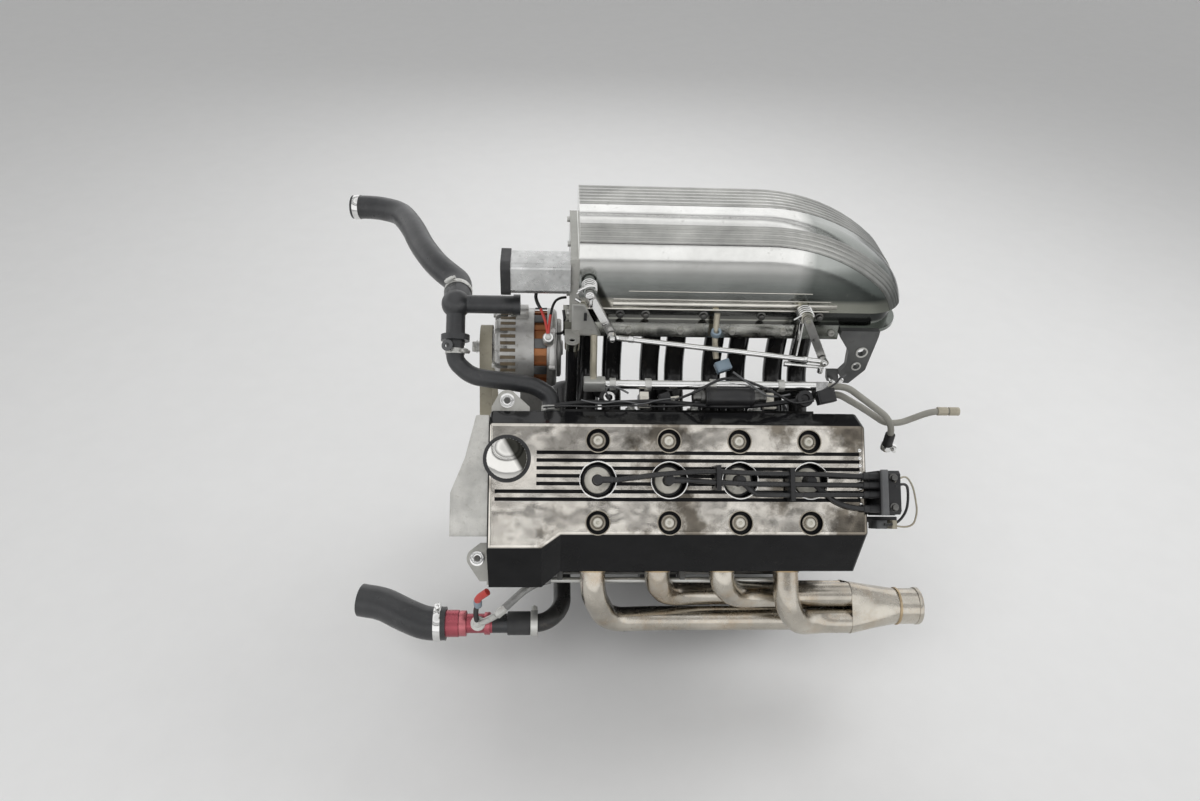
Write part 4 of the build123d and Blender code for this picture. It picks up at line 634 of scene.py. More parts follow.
def layWires(where, rows, *slot, **more):  # rows hold name, radius, finish and points in millimetres
    for name, radius, finish, points in rows:
        wire(name, [where(*point) for point in points], radius, finish, *slot, **more)


def plugBox(length, width, height):  # a moulded connector body
    return shaped(addBlock(length, width, height), ((0.86, 0.0), (0.96, 1.5)), 0.9)


# Cam cover: rims, washers, nuts, discs and the ends of the ridges
coverTrim = {
    "boreSpacing": 98, "rearX": -82, "topW": 430, "boltVs": (54, -58), "boltWell": 16.0, "boltFloorW": 421,
    "plugWell": 24.0, "sealTopW": 412, "discRadius": 18.6, "firstRidgeV": 42.3, "ridgePitch": 10.6, "ridgeEndX": -11.4,
}
wellXs = [coverTrim["rearX"] - coverTrim["boreSpacing"] * n for n in range(4)]
topW, sealW = coverTrim["topW"], coverTrim["sealTopW"]


def overWells(vs, w):
    return [(inBank(x, v, w), upBank) for x in wellXs for v in vs]


boltWell, plugWell = coverTrim["boltWell"], coverTrim["plugWell"]
rim = addRing(boltWell - 0.2, boltWell + 1.3, 1.5, -0.6, 48, 0.6)
spread(rim, "boltWellRims", overWells(coverTrim["boltVs"], topW), "bronzeSteel")
rim = addRing(plugWell + 0.4, plugWell + 2.0, 1.8, -0.6, 64, 0.7)
spread(rim, "plugWellRims", overWells((0,), topW), "chrome")
boltFloors = overWells(coverTrim["boltVs"], coverTrim["boltFloorW"])
washer = shaped(addDrum(11.4, 2.4, 0, 36), [(0.95, 0.9), (0.76, 0.0), (0.98, -1.6)], 0.3, 1)
spread(washer, "coverWashers", boltFloors, "bronzeSteel")
nut = shaped(addDrum(6.4, 5.4, 1.2, 24), [(0.88, 0.9), (0.42, 0.0), (1, -2.6)], 0.35, 1)
spread(nut, "coverNuts", boltFloors, "cream", "chrome")
disc = shaped(addDrum(coverTrim["discRadius"], 2.2, 0, 56), [(0.95, 0.9), (0.80, -0.7), (0.55, 0.4), (0.9, 0.6)], 0.4)
spread(disc, "plugDiscs", overWells((0,), sealW), "cream", "black_rubber")
collar = shaped(addDrum(8.0, 3.0, 0, 28), [(0.86, 1.6)], 0.5)
spread(collar, "bootCollars", overWells((0,), sealW + 3.0), "rubber")
ridgeEnd = shaped(addDrum(2.7, 1.2, -1.0, 16), [(0.86, 0.7), (0.6, 0.4)], 0.2, 1)
ridgeVs = [coverTrim["firstRidgeV"] - coverTrim["ridgePitch"] * n for n in range(8)]
spread(ridgeEnd, "ridgeEnds", [(inBank(coverTrim["ridgeEndX"], v, topW), upBank) for v in ridgeVs], "chrome")

capTrim = {"bossTop": (-500, 28, 433), "rimRadius": 27.0, "gapRadius": 32.6, "gripCount": 40}
capTop, rimRadius = inBank(*capTrim["bossTop"]), capTrim["rimRadius"]
# painted shade: a thin dark ring stands for the shade in the gap between the cap and its boss
gap = addRing(rimRadius + 0.2, capTrim["gapRadius"], 0.7, 0, 56, 0.2)
spread(gap, "capGapPaintedShade", [(capTop, upBank)], "rubber")
gripTurns = around(capTrim["gripCount"])
gripPlaces = [place for place, _ in ringSpots(capTop, rimRadius + 0.1, gripTurns, rearward, across)]
grips = [(place, upBank, turn) for place, turn in zip(gripPlaces, gripTurns)]
spread(shaped(addBlock(1.0, 1.5, 4.6, 1.0), [(0.7, 0.5)]), "capGrip", grips, "chrome")
print("cam cover dressed")

# Ignition: skirts on the coil's towers, its clip bar, bolts and ribs, and the plugs and wires beside it
ignitionTrim = {
    "skirtX": -12, "towerW": 440, "towerVs": (6, -6, -19, -38), "boltX": 28, "boltVs": (4, -36), "coilTopW": 448,
    "ribWs": (392, 404, 416, 428),
}
skirts = [(inBank(ignitionTrim["skirtX"], v, ignitionTrim["towerW"]), rearward) for v in ignitionTrim["towerVs"]]
spread(addRing(3.4, 5.0, 9, 0, 20, 0.5), "towerSkirts", skirts, "rubber")
clipBar = shaped(addBlock(9, 62, 7), [(0.84, 1.2), (0.92, 0.8)], 0.9)
spread(clipBar, "coilClipBar", [(inBank(14, -16, 447.6), upBank)], "greyPlastic")
coilBolts = [(inBank(ignitionTrim["boltX"], v, ignitionTrim["coilTopW"]), upBank) for v in ignitionTrim["boltVs"]]
spread(hexBolt(8, 4.5, 6, 1.2), "coilBolts", coilBolts, "darkSteel")
rib = shaped(addBlock(24, 3, 2.2, -1.6), [(0.94, 0.6)])
spread(rib, "coilRibs", [(inBank(24, -46, w), -across) for w in ignitionTrim["ribWs"]], "plastic")
spread(plugBox(15, 12, 34), "coilPlug", [(inBank(26, -60, 372), upBank)], "greyPlastic")
spread(plugBox(7, 12, 20), "tanPlug", [(inBank(44, -60, 386), upBank)], "tanTube", "black_plastic")
shelf = shaped(addBlock(46, 8, 14), [(0.9, 1.5)], 1.0)
spread(shelf, "plugShelf", [(inBank(32, -53, 374), upBank)], "plastic")
layWires(inBank, [
    ("coilWire", 1.3, "tanTube", [(30, -2, 447), (44, 10, 446), (62, -4, 430), (72, -24, 415), (76, -44, 410),
        (66, -66, 412), (46, -62, 408)]),
    ("coilWireDark", 1.9, "leadRubber", [(30, -8, 447), (48, 0, 444), (58, -20, 425), (62, -44, 405), (44, -62, 404),
        (28, -60, 408)]),
], "black_rubber")
print("ignition dressed")

# Plenum: two bands of reeds that follow the nose, the dark step under them and the beads low on the near face
bandTrim = {
    "straightXs": (-402.6, -300, -200), "noseStartX": -135.0, "topZ": 569.0, "noseRadius": 297.0, "noseTurn": 40.0,
    "noseSteps": 10, "endRadius": 112.0, "endSteps": 7, "rollStartY": -27.0, "rollRadius": 58.0, "footZ": 441.0,
    "topYs": (54.0, 43.5, 33.0, 22.5, 12.0, 1.5), "topReed": 9.0, "topSink": 7.7,
    "rollAngles": (30.5, 37.6, 44.7, 51.8), "rollReed": 6.0, "rollSink": 4.9, "stepAngle": 56.5, "edgeY": -4.5,
    "edgeSink": 0.2,
}
noseTopZ = bandTrim["topZ"] - bandTrim["noseRadius"]
noseStep = (bandTrim["noseRadius"] - bandTrim["endRadius"]) / 1000
noseTop = inRow(bandTrim["noseStartX"], 0, noseTopZ)
noseEnd = noseTop + spoke(bandTrim["noseTurn"], skyward, rearward) * noseStep


def noseLine(y, inset):  # a line over the shell, straight and then round the nose
    full, steps, endSteps = bandTrim["noseTurn"], bandTrim["noseSteps"], bandTrim["endSteps"]
    endReach = bandTrim["endRadius"] - inset
    foot = 90 - math.degrees(math.asin(min(1, (bandTrim["footZ"] - noseEnd.z * 1000) / endReach)))
    endTurns = [full + (foot - full) * n / endSteps for n in range(1, endSteps + 1)]
    points = [inRow(x, 0, bandTrim["topZ"] - inset) for x in bandTrim["straightXs"]]
    for centre, reach, turns in (
            (noseTop, bandTrim["noseRadius"] - inset, [full * n / steps for n in range(steps + 1)]),
            (noseEnd, endReach, endTurns)):
        points += [place for place, _ in ringSpots(centre, reach, turns, skyward, rearward)]
    return [point + farward * y / 1000 for point in points]


def rollLine(angle, sink):
    turn = math.radians(angle)
    depth = bandTrim["rollRadius"] - sink
    return noseLine(bandTrim["rollStartY"] - depth * math.sin(turn), bandTrim["rollRadius"] - depth * math.cos(turn))


for n, y in enumerate(bandTrim["topYs"]):
    wire(f"topReed{n}", noseLine(y, bandTrim["topSink"]), bandTrim["topReed"], "reeded", curved=False, roundness=8)
for n, angle in enumerate(bandTrim["rollAngles"]):
    line = rollLine(angle, bandTrim["rollSink"])
    wire(f"rollReed{n}", line, bandTrim["rollReed"], "reeded", curved=False, roundness=8)
stepLine = rollLine(bandTrim["stepAngle"], bandTrim["edgeSink"])
edgeLine = noseLine(bandTrim["edgeY"], bandTrim["edgeSink"])
wire("bandStep", stepLine, 0.8, "darkSteel", "polished_aluminium", curved=False, roundness=1)
wire("bandEdge", edgeLine, 0.6, "darkSteel", "polished_aluminium", curved=False, roundness=1)

beadTrim = {
    "faceY": -85.0, "lipY": -83.6, "lipZ": 441.5, "lipXs": (-402, -30),
    "beads": [  # z, radius, sink, ends in x
        (449.5, 6.0, 4.2, -352, -20), (458.0, 1.2, 0.6, -352, -30), (471.5, 1.0, 0.5, -330, -60)],
}
for n, (z, radius, sink, *ends) in enumerate(beadTrim["beads"]):
    line = [inRow(x, beadTrim["faceY"] + sink, z) for x in ends]
    wire(f"nearBead{n}", line, radius, "beadMetal", curved=False, roundness=4)
lipLine = [inRow(x, beadTrim["lipY"], beadTrim["lipZ"]) for x in beadTrim["lipXs"]]
wire("shellLip", lipLine, 2.2, "beadMetal", curved=False)

recessSpots = [inRow(x, -200, 427) for x in (-340, -302, -215, -128, -40)]
seatAll(hexBolt(9, 5, 7, 1.4), "recessBolts", "plenum", recessSpots, farward, "darkSteel")
flangeSpots = [inRow(x, -200, 406) for x in (-327, -249, -171, -93, -20)]
seatAll(socketBolt(4.6, 4.0), "flangeBolts", "plenum", flangeSpots, farward, "plateGrey", "machined_steel")
endSpots = [inRow(-500, y, z) for y, z in ((-76, 428), (-20, 428), (60, 428), (60, 512), (-20, 512))]
seatAll(socketBolt(4.4, 3.6), "endPlateBolts", "plenum", endSpots, rearward, "zinc")
edgeStrip = shaped(addBlock(13.4, 104, 0.8), [(0.94, 0.5)], 0.3, 1)
spread(edgeStrip, "endPlateEdge", [(inRow(-409, -86, 470.5), nearward)], "plateGrey", "polished_aluminium")
lugRim = addRing(4.2, 11.0, 1.6, 0, 36, 0.6)
spread(lugRim, "stayLugRim", [(inRow(-411, -117, 404.6), skyward)], "plateGrey", "polished_aluminium")
lugBright = addRing(4.0, 5.6, 1.2, 0, 32, 0.4)
spread(lugBright, "stayLugHole", [(inRow(-411, -117, 406.0), skyward)], "zinc", "polished_aluminium")
lugTop = shaped(addBlock(21, 26, 1.2), [(0.94, 0.5)], 0.4, 1)
spread(lugTop, "stayLugTop", [(inRow(-411, -99, 404.6), skyward)], "plateGrey", "polished_aluminium")
standoff = shaped(addDrum(5.2, 62, 0, 24), [(1.0, 2.0), (1.25, 0.0), (1.0, 5.0), (0.7, 1.0)], 0.5)
spread(standoff, "flangePost", [(inRow(-71, -93, 366), skyward)], "chrome")
print("plenum dressed")

# Throttle: return springs, stop wires, the lever's channel, nuts, the rod's ends, a short link and a guide plate
throttleTrim = {
    "frontPivot": (-388, 485), "rearPivot": (-70, 447), "arm": (34, -66), "channelY": -120.5, "rodY": -127,
    "nutY": -131.9, "springY": -110, "springDepth": 20, "springRadius": 10.8, "springTurns": 4, "springSteps": 12,
    "springWire": 1.2, "linkDrop": 11.5, "linkLength": 50,
}
front, rear = throttleTrim["frontPivot"], throttleTrim["rearPivot"]
armX, armZ = throttleTrim["arm"]
rodY, springY = throttleTrim["rodY"], throttleTrim["springY"]


def offPivot(pivot, x, y, z):  # x and z from a lever's pivot
    return inRow(pivot[0] + x, y, pivot[1] + z)


coilSteps = throttleTrim["springTurns"] * throttleTrim["springSteps"]
for name, pivot in (("frontSpring", front), ("rearSpring", rear)):
    coil = [offPivot(pivot, -18, springY, -4), offPivot(pivot, 0, springY, 11.5)]
    for n in range(coilSteps + 1):
        out = spoke(360 * n / throttleTrim["springSteps"], rearward, skyward)
        middle = offPivot(pivot, 0, springY + throttleTrim["springDepth"] * n / coilSteps, 0)
        coil.append(middle + out * throttleTrim["springRadius"] / 1000)
    wire(name, coil, throttleTrim["springWire"], "chrome")
wire("stopWire", [offPivot(front, -16, -111, 1), offPivot(front, -3, -111, 11), offPivot(front, 6, -110, 9)],
     2.2, "chrome")
wire("stopWireShort", [offPivot(front, -20, -104, -16), offPivot(front, -12, -106, -20)], 2.6, "chrome")

channel = addBlock(46, 10.5, 0.8)
insetFaces(channel, facesUp, 1.6, drop=0.6)
armWay = Vector((armX, 0, armZ)).normalized()
middle = offPivot(front, armX * 0.42, throttleTrim["channelY"], armZ * 0.42)
channelAxes = onAxes(middle, armWay, nearward.cross(armWay), nearward)
spreadBy(channel, "leverChannel", [channelAxes], "chrome", body="front_throttle_lever")
drop = shaped(addDrum(2.6, 14, 0, 16), [(0.8, 1.4), (0.5, 0.8)], 0.4)
spread(drop, "leverTab", [(offPivot(front, 2, -121.0, -4), -skyward)], "chrome", body="front_throttle_lever")
spread(hexBolt(9, 3.2, 6, 0.8), "frontPivotNut", [(offPivot(front, 0, -121.6, 0), nearward)], "chrome")
for name, pivot, body in (("frontRodNut", front, "front_throttle_lever"), ("rearRodNut", rear, "rear_throttle_lever")):
    nutPlace = offPivot(pivot, armX, throttleTrim["nutY"], armZ)
    spread(hexBolt(7, 2.6, 4.6, 0.6), name, [(nutPlace, nearward)], "chrome", body=body)

rodWay = Vector((rear[0] - front[0], 0, rear[1] - front[1])).normalized()
rodStart, rodEnd = offPivot(front, armX, rodY, armZ), offPivot(rear, armX, rodY, armZ)
lockNut = shaped(addDrum(5.4, 7, 0, 6), [(0.84, 0.8)], 0.3, 1)
lockSpots = [(rodStart + rodWay * 0.024, rodWay), (rodEnd - rodWay * 0.024, -rodWay)]
spread(lockNut, "rodLockNuts", lockSpots, "chrome", body="throttle_link")
threads = [(rodStart + rodWay * (0.010 + 0.0022 * n), rodWay) for n in range(6)]
spread(addRing(3.9, 4.5, 1.1, 0, 16, 0.2), "rodThread", threads, "machined", body="throttle_link")
linkFar = rodEnd - rodWay * throttleTrim["linkLength"] / 1000 - skyward * throttleTrim["linkDrop"] / 1000
wire("shortLink", [rodEnd - skyward * 0.010, linkFar], 2.8, "chrome", body="throttle_link", curved=False)
linkEnd = shaped(addDrum(4.2, 9, 0, 14), [(0.8, 1.0)], 0.6)
linkEnds = [(rodEnd + inRow(-2, 0, -10.5), -skyward), (linkFar, -rodWay)]
spread(linkEnd, "shortLinkEnds", linkEnds, "chrome", body="throttle_link")

guidePlate = addBlock(44, 4, 54)
selectFaces(guidePlate, facesUp)
bpy.ops.transform.resize(value=(0.42, 1, 1), center_override=(-0.022, 0, 0.054))
bpy.ops.object.mode_set(mode="OBJECT")
insetFaces(guidePlate, lambda face: face.normal.y < -0.9, 3, -0.6)
soften(guidePlate, 0.8, 2)
spread(guidePlate, "guidePlate", [(inRow(-390, -88.5, 397), skyward, 180)], "zinc")
guideSlot = shaped(addBlock(4.5, 1.6, 12), [(0.7, 1.2)], 0.3, 1)
spread(guideSlot, "guideSlot", [(inRow(-392, -91.2, 424), skyward)], "rubber", "machined_steel")
stud = shaped(addDrum(3.0, 12, 0, 16), [(1.7, 1.0), (1.0, 3.0), (0.7, 1.4)], 0.5)
seatAll(stud, "bracketStuds", "rear_bracket", [inRow(-8, -200, 329), inRow(4, -200, 334)], farward, "chrome")
spread(addRing(6.7, 9.4, 1.4, 0, 32, 0.4), "bracketEyeRims", [(inRow(32, -94, 376), nearward)], "zinc")
spread(addRing(5.2, 7.6, 1.2, 0, 28, 0.4), "bracketEyeRimSmall", [(inRow(29, -94, 350), nearward)], "zinc")
print("throttle dressed")

# Hose clamps
clampSpots = [  # place, axis, spin, radius, width, finish
    (inRow(-583, -24, 429), farward, 60, 20.0, 9, "zinc"),
    (inRow(-781, 254.9, 430.5), Vector((-0.987, 0.141, -0.07)), 190, 20.0, 10, "chrome"),
    (inBank(-583, 190, 345), across, 150, 13.0, 8, "zinc"),
    (inBank(-441, 108, 336), across, 90, 13.0, 8, "zinc"),
    (inRow(-615, -299, -10), rearward, 60, 26.0, 11, "chrome"),
    (inRow(-464, -299, -10), rearward, 20, 18.6, 11, "zinc"),
]
for number, (place, axis, spin, radius, width, finish) in enumerate(clampSpots):
    spread(bandClamp(radius, width), f"hoseClamp{number}", [(place, axis, spin)], finish, "machined_steel")

# Lower line: red collar, banjo with its braided hose, a rubber joint and steel tubes under the head
lowerTrim = {"axisY": -299, "axisZ": -10, "collarX": -582, "stepXs": (-600, -542), "banjoX": -551, "jointX": -506}


def onLowerLine(x):
    return inRow(x, lowerTrim["axisY"], lowerTrim["axisZ"])


collar = addRing(14.6, 20.0, 12, 0, 48, 1.2)
spread(collar, "redCollar", [(onLowerLine(lowerTrim["collarX"]), rearward)], "redAnodised")
collar = addRing(14.6, 17.6, 9, 0, 48, 0.8)
spread(collar, "redSteps", [(onLowerLine(x), rearward) for x in lowerTrim["stepXs"]], "redAnodised")
spread(addRing(14.4, 18.4, 36, 0, 44, 0.9), "rubberJoint", [(onLowerLine(lowerTrim["jointX"]), rearward)], "rubber")
lookAxis = Vector((0.0, -0.62, 0.78))
banjoFoot = onLowerLine(lowerTrim["banjoX"]) + lookAxis * 0.0135
banjo = shaped(addDrum(11.5, 9, 0, 32), [(0.92, 1.2), (0.62, 0.0), (1.0, 3.5), (0.84, 0.8)], 0.6)
spread(banjo, "banjo", [(banjoFoot, lookAxis)], "zinc")
banjoPath = [banjoFoot + lookAxis * 0.006, inRow(-538, -318, 18), inRow(-520, -322, 40), inRow(-504, -318, 56)]
wire("banjoNeck", banjoPath[:3], 5.2, "zinc")
hoseNut = shaped(addDrum(7.2, 14, 0, 6), [(0.84, 1.5), (0.9, 4.0)], 0.5)
spread(hoseNut, "hoseNuts", [(banjoPath[2], banjoPath[3] - banjoPath[2])], "zinc")
tubePoints = [inBank(x, -148, 250) for x in (-440, -300, -60)]
wire("braidedHose", [*banjoPath[2:], inRow(-480, -300, 70), inRow(-456, -286, 73), tubePoints[0]], 6.0, "braid")
wire("steelTube", tubePoints, 4.2, "zinc", curved=False)
wire("steelTubeLow", [inBank(x, -138, 226) for x in (-470, -300, -60)], 3.2, "darkSteel", curved=False)
clip = shaped(addBlock(10, 12, 26, -3), [(0.8, 1.5)], 1.2)
spread(clip, "tubeClips", [(inBank(x, -125, w), -across) for x in (-425, -235, -75) for w in (229, 248)], "darkSteel")
capStub = shaped(addDrum(6.4, 16, 0, 20), [(0.86, 0.0), (1.0, 5.0), (0.8, 1.0)], 0.6)
spread(capStub, "blueStub", [(inRow(-549, -313, 52), Vector((0.05, -0.35, 0.93)))], "blueGrey")
layWires(inRow, [
    ("stubHose", 4.0, "rubber", [(-552, -312, 10), (-556, -308, 30), (-549, -313, 54)]),
    ("redCap", 5.6, "redSleeve", [(-548, -320, 72), (-546, -324, 82), (-538, -326, 92), (-532, -326, 98)]),
])
print("lower line dressed")

# Lifting eyes: a bright washer and a grey bolt in each
eyeSpots = [(inBank(-503, 113, 388), upBank), (inBank(-544, -110, 350), upBank)]
spread(addRing(4.0, 10.6, 1.6, 0, 36, 0.5), "eyeWashers", eyeSpots, "chrome", "machined_steel")
bolt = shaped(addDrum(4.6, 2.6, 0, 20), [(0.85, 0.6), (0.5, 0.0), (1, -1.2)], 0.3, 1)
spread(bolt, "eyeBolts", eyeSpots, "darkSteel")

# Fuel rail: its front block, clamps, the damper's ends, connectors and wiring
railTrim = {
    "v": 141, "w": 368, "frontX": -394, "bandXs": (-352, -300, -205, -104), "footXs": (-306, -122),
    "plugs": [(-67, 12), (-167, -8), (-275, 20), (-362, -15)],  # x and spin
    "clips": [(-261, 8), (-306, -12), (-66, 15)],
}
railV, railW = railTrim["v"], railTrim["w"]
block = shaped(addBlock(17, 17, 30), [(0.88, 1.6)], 1.4)
spread(block, "railFrontBlock", [(inBank(railTrim["frontX"], railV, railW), rearward)], "zinc")
band = addRing(7.0, 9.2, 9, -4.5, 28, 0.6)
spread(band, "railBands", [(inBank(x, railV, railW), rearward) for x in railTrim["bandXs"]], "zinc")
foot = shaped(addBlock(13, 7, 20), [(1.5, 0.0), (1.0, 3.0), (0.8, 1.0)], 0.8)
feet = [(inBank(x, railV - 11, railW + 1), -across) for x in railTrim["footXs"]]
spread(foot, "railFeet", feet, "cream", "machined_steel")
tanFeed = [inBank(-380, 146, 372), inRow(-379, -128, 362), inRow(-378, -100, 384), inRow(-378, -88, 396)]
wire("tanFeed", tanFeed, 5.2, "tanTube")
tanRear = [(-198, -92, 440), (-199, -98, 420), (-199, -108, 396), (-196, -118, 378)]
layWires(inRow, [("tanRear", 4.4, "tanTube", tanRear)])
spread(plugBox(22, 16, 14), "bluePlug", [(inRow(-186, -122, 364), Vector((0, -0.6, 0.8)), 20)], "blueGrey")
spread(addRing(4.4, 7.6, 9, 0, 24, 0.8), "blueRing", [(inRow(-198.5, -102, 410), Vector((0, -0.35, 0.94)))], "blueGrey")
plugSpots = [(inBank(x, 123, 352), upBank, spin) for x, spin in railTrim["plugs"]]
spread(plugBox(16, 13, 17), "injectorPlugs", plugSpots, "plastic")
clipFrame = addBlock(12, 9, 3)
insetFaces(clipFrame, facesUp, 2, -1.2)
soften(clipFrame, 0.4, 1)
clipPlaces = [(inBank(x, 119, 371.5), upBank, spin) for x, spin in railTrim["clips"]]
spread(clipFrame, "injectorClips", clipPlaces, "cream", "black_plastic")
eyelet = addRing(4.5, 8.6, 3, 0, 32, 0.9)
spread(eyelet, "loomEyelet", [(inBank(-357, 121, 369), Vector((0.1, -0.6, 0.8)))], "chrome")

damperTrim = {"v": 122.3, "w": 378, "startX": -218, "endX": -148, "bandXs": (-216, -154)}


def onDamper(x):
    return inBank(x, damperTrim["v"], damperTrim["w"])


damperEnd = shaped(addDrum(9.5, 7, 0, 28), [(0.7, 0.0), (1.0, 8.0), (1.25, 0.0), (1.0, 3.0), (0.8, 1.0)], 0.5)
damperEnds = [(onDamper(damperTrim["startX"]), forward), (onDamper(damperTrim["endX"]), rearward)]
spread(damperEnd, "damperEnds", damperEnds, "darkSteel")
band = addRing(14.0, 14.9, 4, 0, 40, 0.4)
spread(band, "damperBands", [(onDamper(x), rearward) for x in damperTrim["bandXs"]], "plastic")
roundPlug = shaped(addDrum(12, 12, 0, 32), [(0.94, 1.0), (0.55, 0.0), (0.9, -5.0)], 0.7)
spread(roundPlug, "roundPlug", [(inBank(-72, 121, 371), upBank)], "plastic")
spread(plugBox(26, 20, 16), "squarePlug", [(inBank(-42, 124, 374), upBank, 12)], "plastic")
layWires(inBank, [
    ("mainLoom", 3.6, "plastic", [(-436, 108, 372), (-400, 114, 374), (-350, 112, 378), (-290, 116, 374),
        (-240, 112, 376), (-200, 108, 380), (-140, 110, 380), (-98, 116, 378), (-72, 120, 376)]),
])
layWires(inBank, [
    ("edgeWireA", 1.4, "leadRubber", [(-452, 104, 384), (-420, 107, 388), (-380, 104, 392), (-330, 108, 390),
        (-280, 105, 392), (-238, 109, 388)]),
    ("edgeWireB", 1.2, "greyPlastic", [(-398, 116, 380), (-372, 108, 386), (-340, 116, 384), (-312, 108, 388),
        (-286, 118, 380), (-262, 120, 374)]),
    ("plugWireA", 2.0, "leadRubber", [(-261, 118, 374), (-236, 126, 392), (-212, 140, 398), (-188, 150, 392),
        (-160, 146, 384)]),
    ("plugWireB", 2.0, "leadRubber", [(-160, 146, 384), (-128, 132, 396), (-104, 118, 392), (-84, 112, 384),
        (-60, 118, 384)]),
    ("plugWireC", 1.5, "greyPlastic", [(-178, 158, 386), (-150, 134, 398), (-126, 118, 394), (-96, 126, 388)]),
    ("plugWireD", 1.6, "leadRubber", [(-56, 126, 384), (-30, 140, 390), (-20, 152, 384), (-8, 158, 372)]),
    ("plugWireE", 1.5, "greyPlastic", [(-357, 121, 371), (-366, 130, 384), (-352, 138, 386), (-330, 126, 382)]),
], "black_rubber")
print("fuel rail dressed")

# Light hoses' end fittings
fittings = [(inRow(x, -150, 307), rearward) for x in (150, 168)]
spread(addRing(4.6, 6.6, 16, 0, 24, 0.8), "feedFittings", fittings, "tanTube")
spread(addRing(4.8, 7.6, 30, 0, 24, 1.2), "returnSleeve", [(inRow(80, -167, 275), -skyward)], "plastic")
spread(bandClamp(7.8, 9, 6), "returnClamp", [(inRow(80, -167, 250), -skyward, 200)], "chrome", "machined_steel")

# Alternator: screws, slots and bars round its shell, an arm, the rear cap, terminal and wires
alternatorTrim = {
    "y": -28.3, "z": 332.3, "rearX": -433, "screwTurns": (60, 180, 300), "screwCircle": 50, "slotX": -507.5,
    "slotCircle": 62.0, "slotCount": 36, "barX": -458, "barCircle": 61.2, "barCount": 9, "armX": -440, "armReach": 60.5,
}


def onAlternator(x):
    return inRow(x, alternatorTrim["y"], alternatorTrim["z"])


screwSpots = ringSpots(onAlternator(-620), alternatorTrim["screwCircle"], alternatorTrim["screwTurns"])
screwStarts = [place for place, _ in screwSpots]
seatAll(hexBolt(8, 3.0, 5.4, 0.8), "alternatorScrews", "alternator", screwStarts, rearward, "zinc")
slotTurns, barTurns = around(alternatorTrim["slotCount"]), around(alternatorTrim["barCount"], 20)
slotSpots = ringSpots(onAlternator(alternatorTrim["slotX"]), alternatorTrim["slotCircle"], slotTurns)
standAcross(shaped(addBlock(23, 5.2, 1.0, -0.4), [(0.9, 0.3)]), "alternatorSlots", slotSpots, "slotTan")
barSpots = ringSpots(onAlternator(alternatorTrim["barX"]), alternatorTrim["barCircle"], barTurns)
bars = shaped(addBlock(19, 15, 2.2, -1.4), [(0.92, 0.6)], 0.5, 1)
standAcross(bars, "alternatorBars", barSpots, "bracketSteel")
lean = Vector((0, -0.85, 0.53)).normalized()
armFoot = onAlternator(alternatorTrim["armX"]) + lean * alternatorTrim["armReach"] / 1000
arm = shaped(addBlock(11, 66, 5, -2.0), [(0.96, 1.0), (0.8, 0.0), (0.95, 0.8)], 1.2)
standAcross(arm, "alternatorArm", [(armFoot, lean)], "machined", "cast_aluminium")
capSteps = [(0.94, 2.0), (0.62, 0.0), (0.95, -2.0), (0.5, 0.0), (0.9, 5.0)]
rearCap = shaped(addDrum(46, 5, 0, 44), capSteps, 1.0)
spread(rearCap, "alternatorRearCap", [(onAlternator(alternatorTrim["rearX"]), rearward)], "castAluminium")
postAxis = Vector((0, -0.64, 0.77))
boss = shaped(addDrum(8.5, 20, 0, 24), [(0.85, 2.0), (0.6, 0.0), (1.0, 6.0)], 0.8)
spread(boss, "terminalPost", [(inRow(-446, -76, 376), postAxis)], "zinc")
ringEnd = addRing(3.6, 7.4, 2.0, 0, 28, 0.5)
spread(ringEnd, "ringTerminal", [(inRow(-446, -90.5, 393), postAxis)], "chrome", "machined_steel")
layWires(inRow, [
    ("redWireA", 2.2, "redSleeve", [(-447, -88, 398), (-449, -80, 408), (-453, -72, 418), (-458, -66, 428)]),
    ("redWireB", 2.2, "redSleeve", [(-446, -88, 398), (-445, -78, 410), (-443, -70, 420)]),
    ("chargeWire", 2.6, "leadRubber", [(-458, -66, 428), (-468, -56, 440), (-460, -44, 452), (-436, -40, 456),
        (-418, -44, 450)]),
    ("senseWire", 2.0, "leadRubber", [(-443, -70, 420), (-440, -58, 432), (-430, -50, 438), (-420, -46, 436)]),
    ("rearLoop", 2.2, "plastic", [(-432, -60, 380), (-424, -78, 392), (-420, -84, 408), (-424, -72, 430)]),
], "black_rubber")
spread(hexBolt(13, 7, 9, 1.6), "earBolt", [(inRow(-495, -28.3, 398.3), forward)], "zinc")
bleedEye = addRing(3.4, 8.6, 3.0, 0, 32, 0.9)
spread(bleedEye, "jointEye", [(inBank(-592, 196, 362), Vector((-0.2, -0.6, 0.75)))], "greyPlastic")
print("alternator dressed")

# Pulleys: centre bolts, which turn with their shafts
pulleyTrim = {"startX": -700, "pump": (30, 170), "pumpCircle": 22, "pumpTurns": (45, 135, 225, 315)}
pulleyStart = inRow(pulleyTrim["startX"], 0, 0)
seatAll(hexBolt(22, 8, 15, 2), "crankBolt", "crankshaft", [pulleyStart], rearward, "darkSteel", body="crank")
pumpMiddle = inBank(pulleyTrim["startX"], *pulleyTrim["pump"])
pumpSpots = ringSpots(pumpMiddle, pulleyTrim["pumpCircle"], pulleyTrim["pumpTurns"], across, upBank)
pumpStarts = [place for place, _ in pumpSpots]
seatAll(hexBolt(8, 3.5, 5.5, 0.8), "pumpBolts", "pump_pulley", pumpStarts, rearward, "darkSteel", body="pump_rotor")
rotorStart = onAlternator(pulleyTrim["startX"])
seatAll(hexBolt(16, 6, 10, 1.2), "rotorNut", "alternator_pulley", [rotorStart], rearward, "zinc",
        body="alternator_rotor")

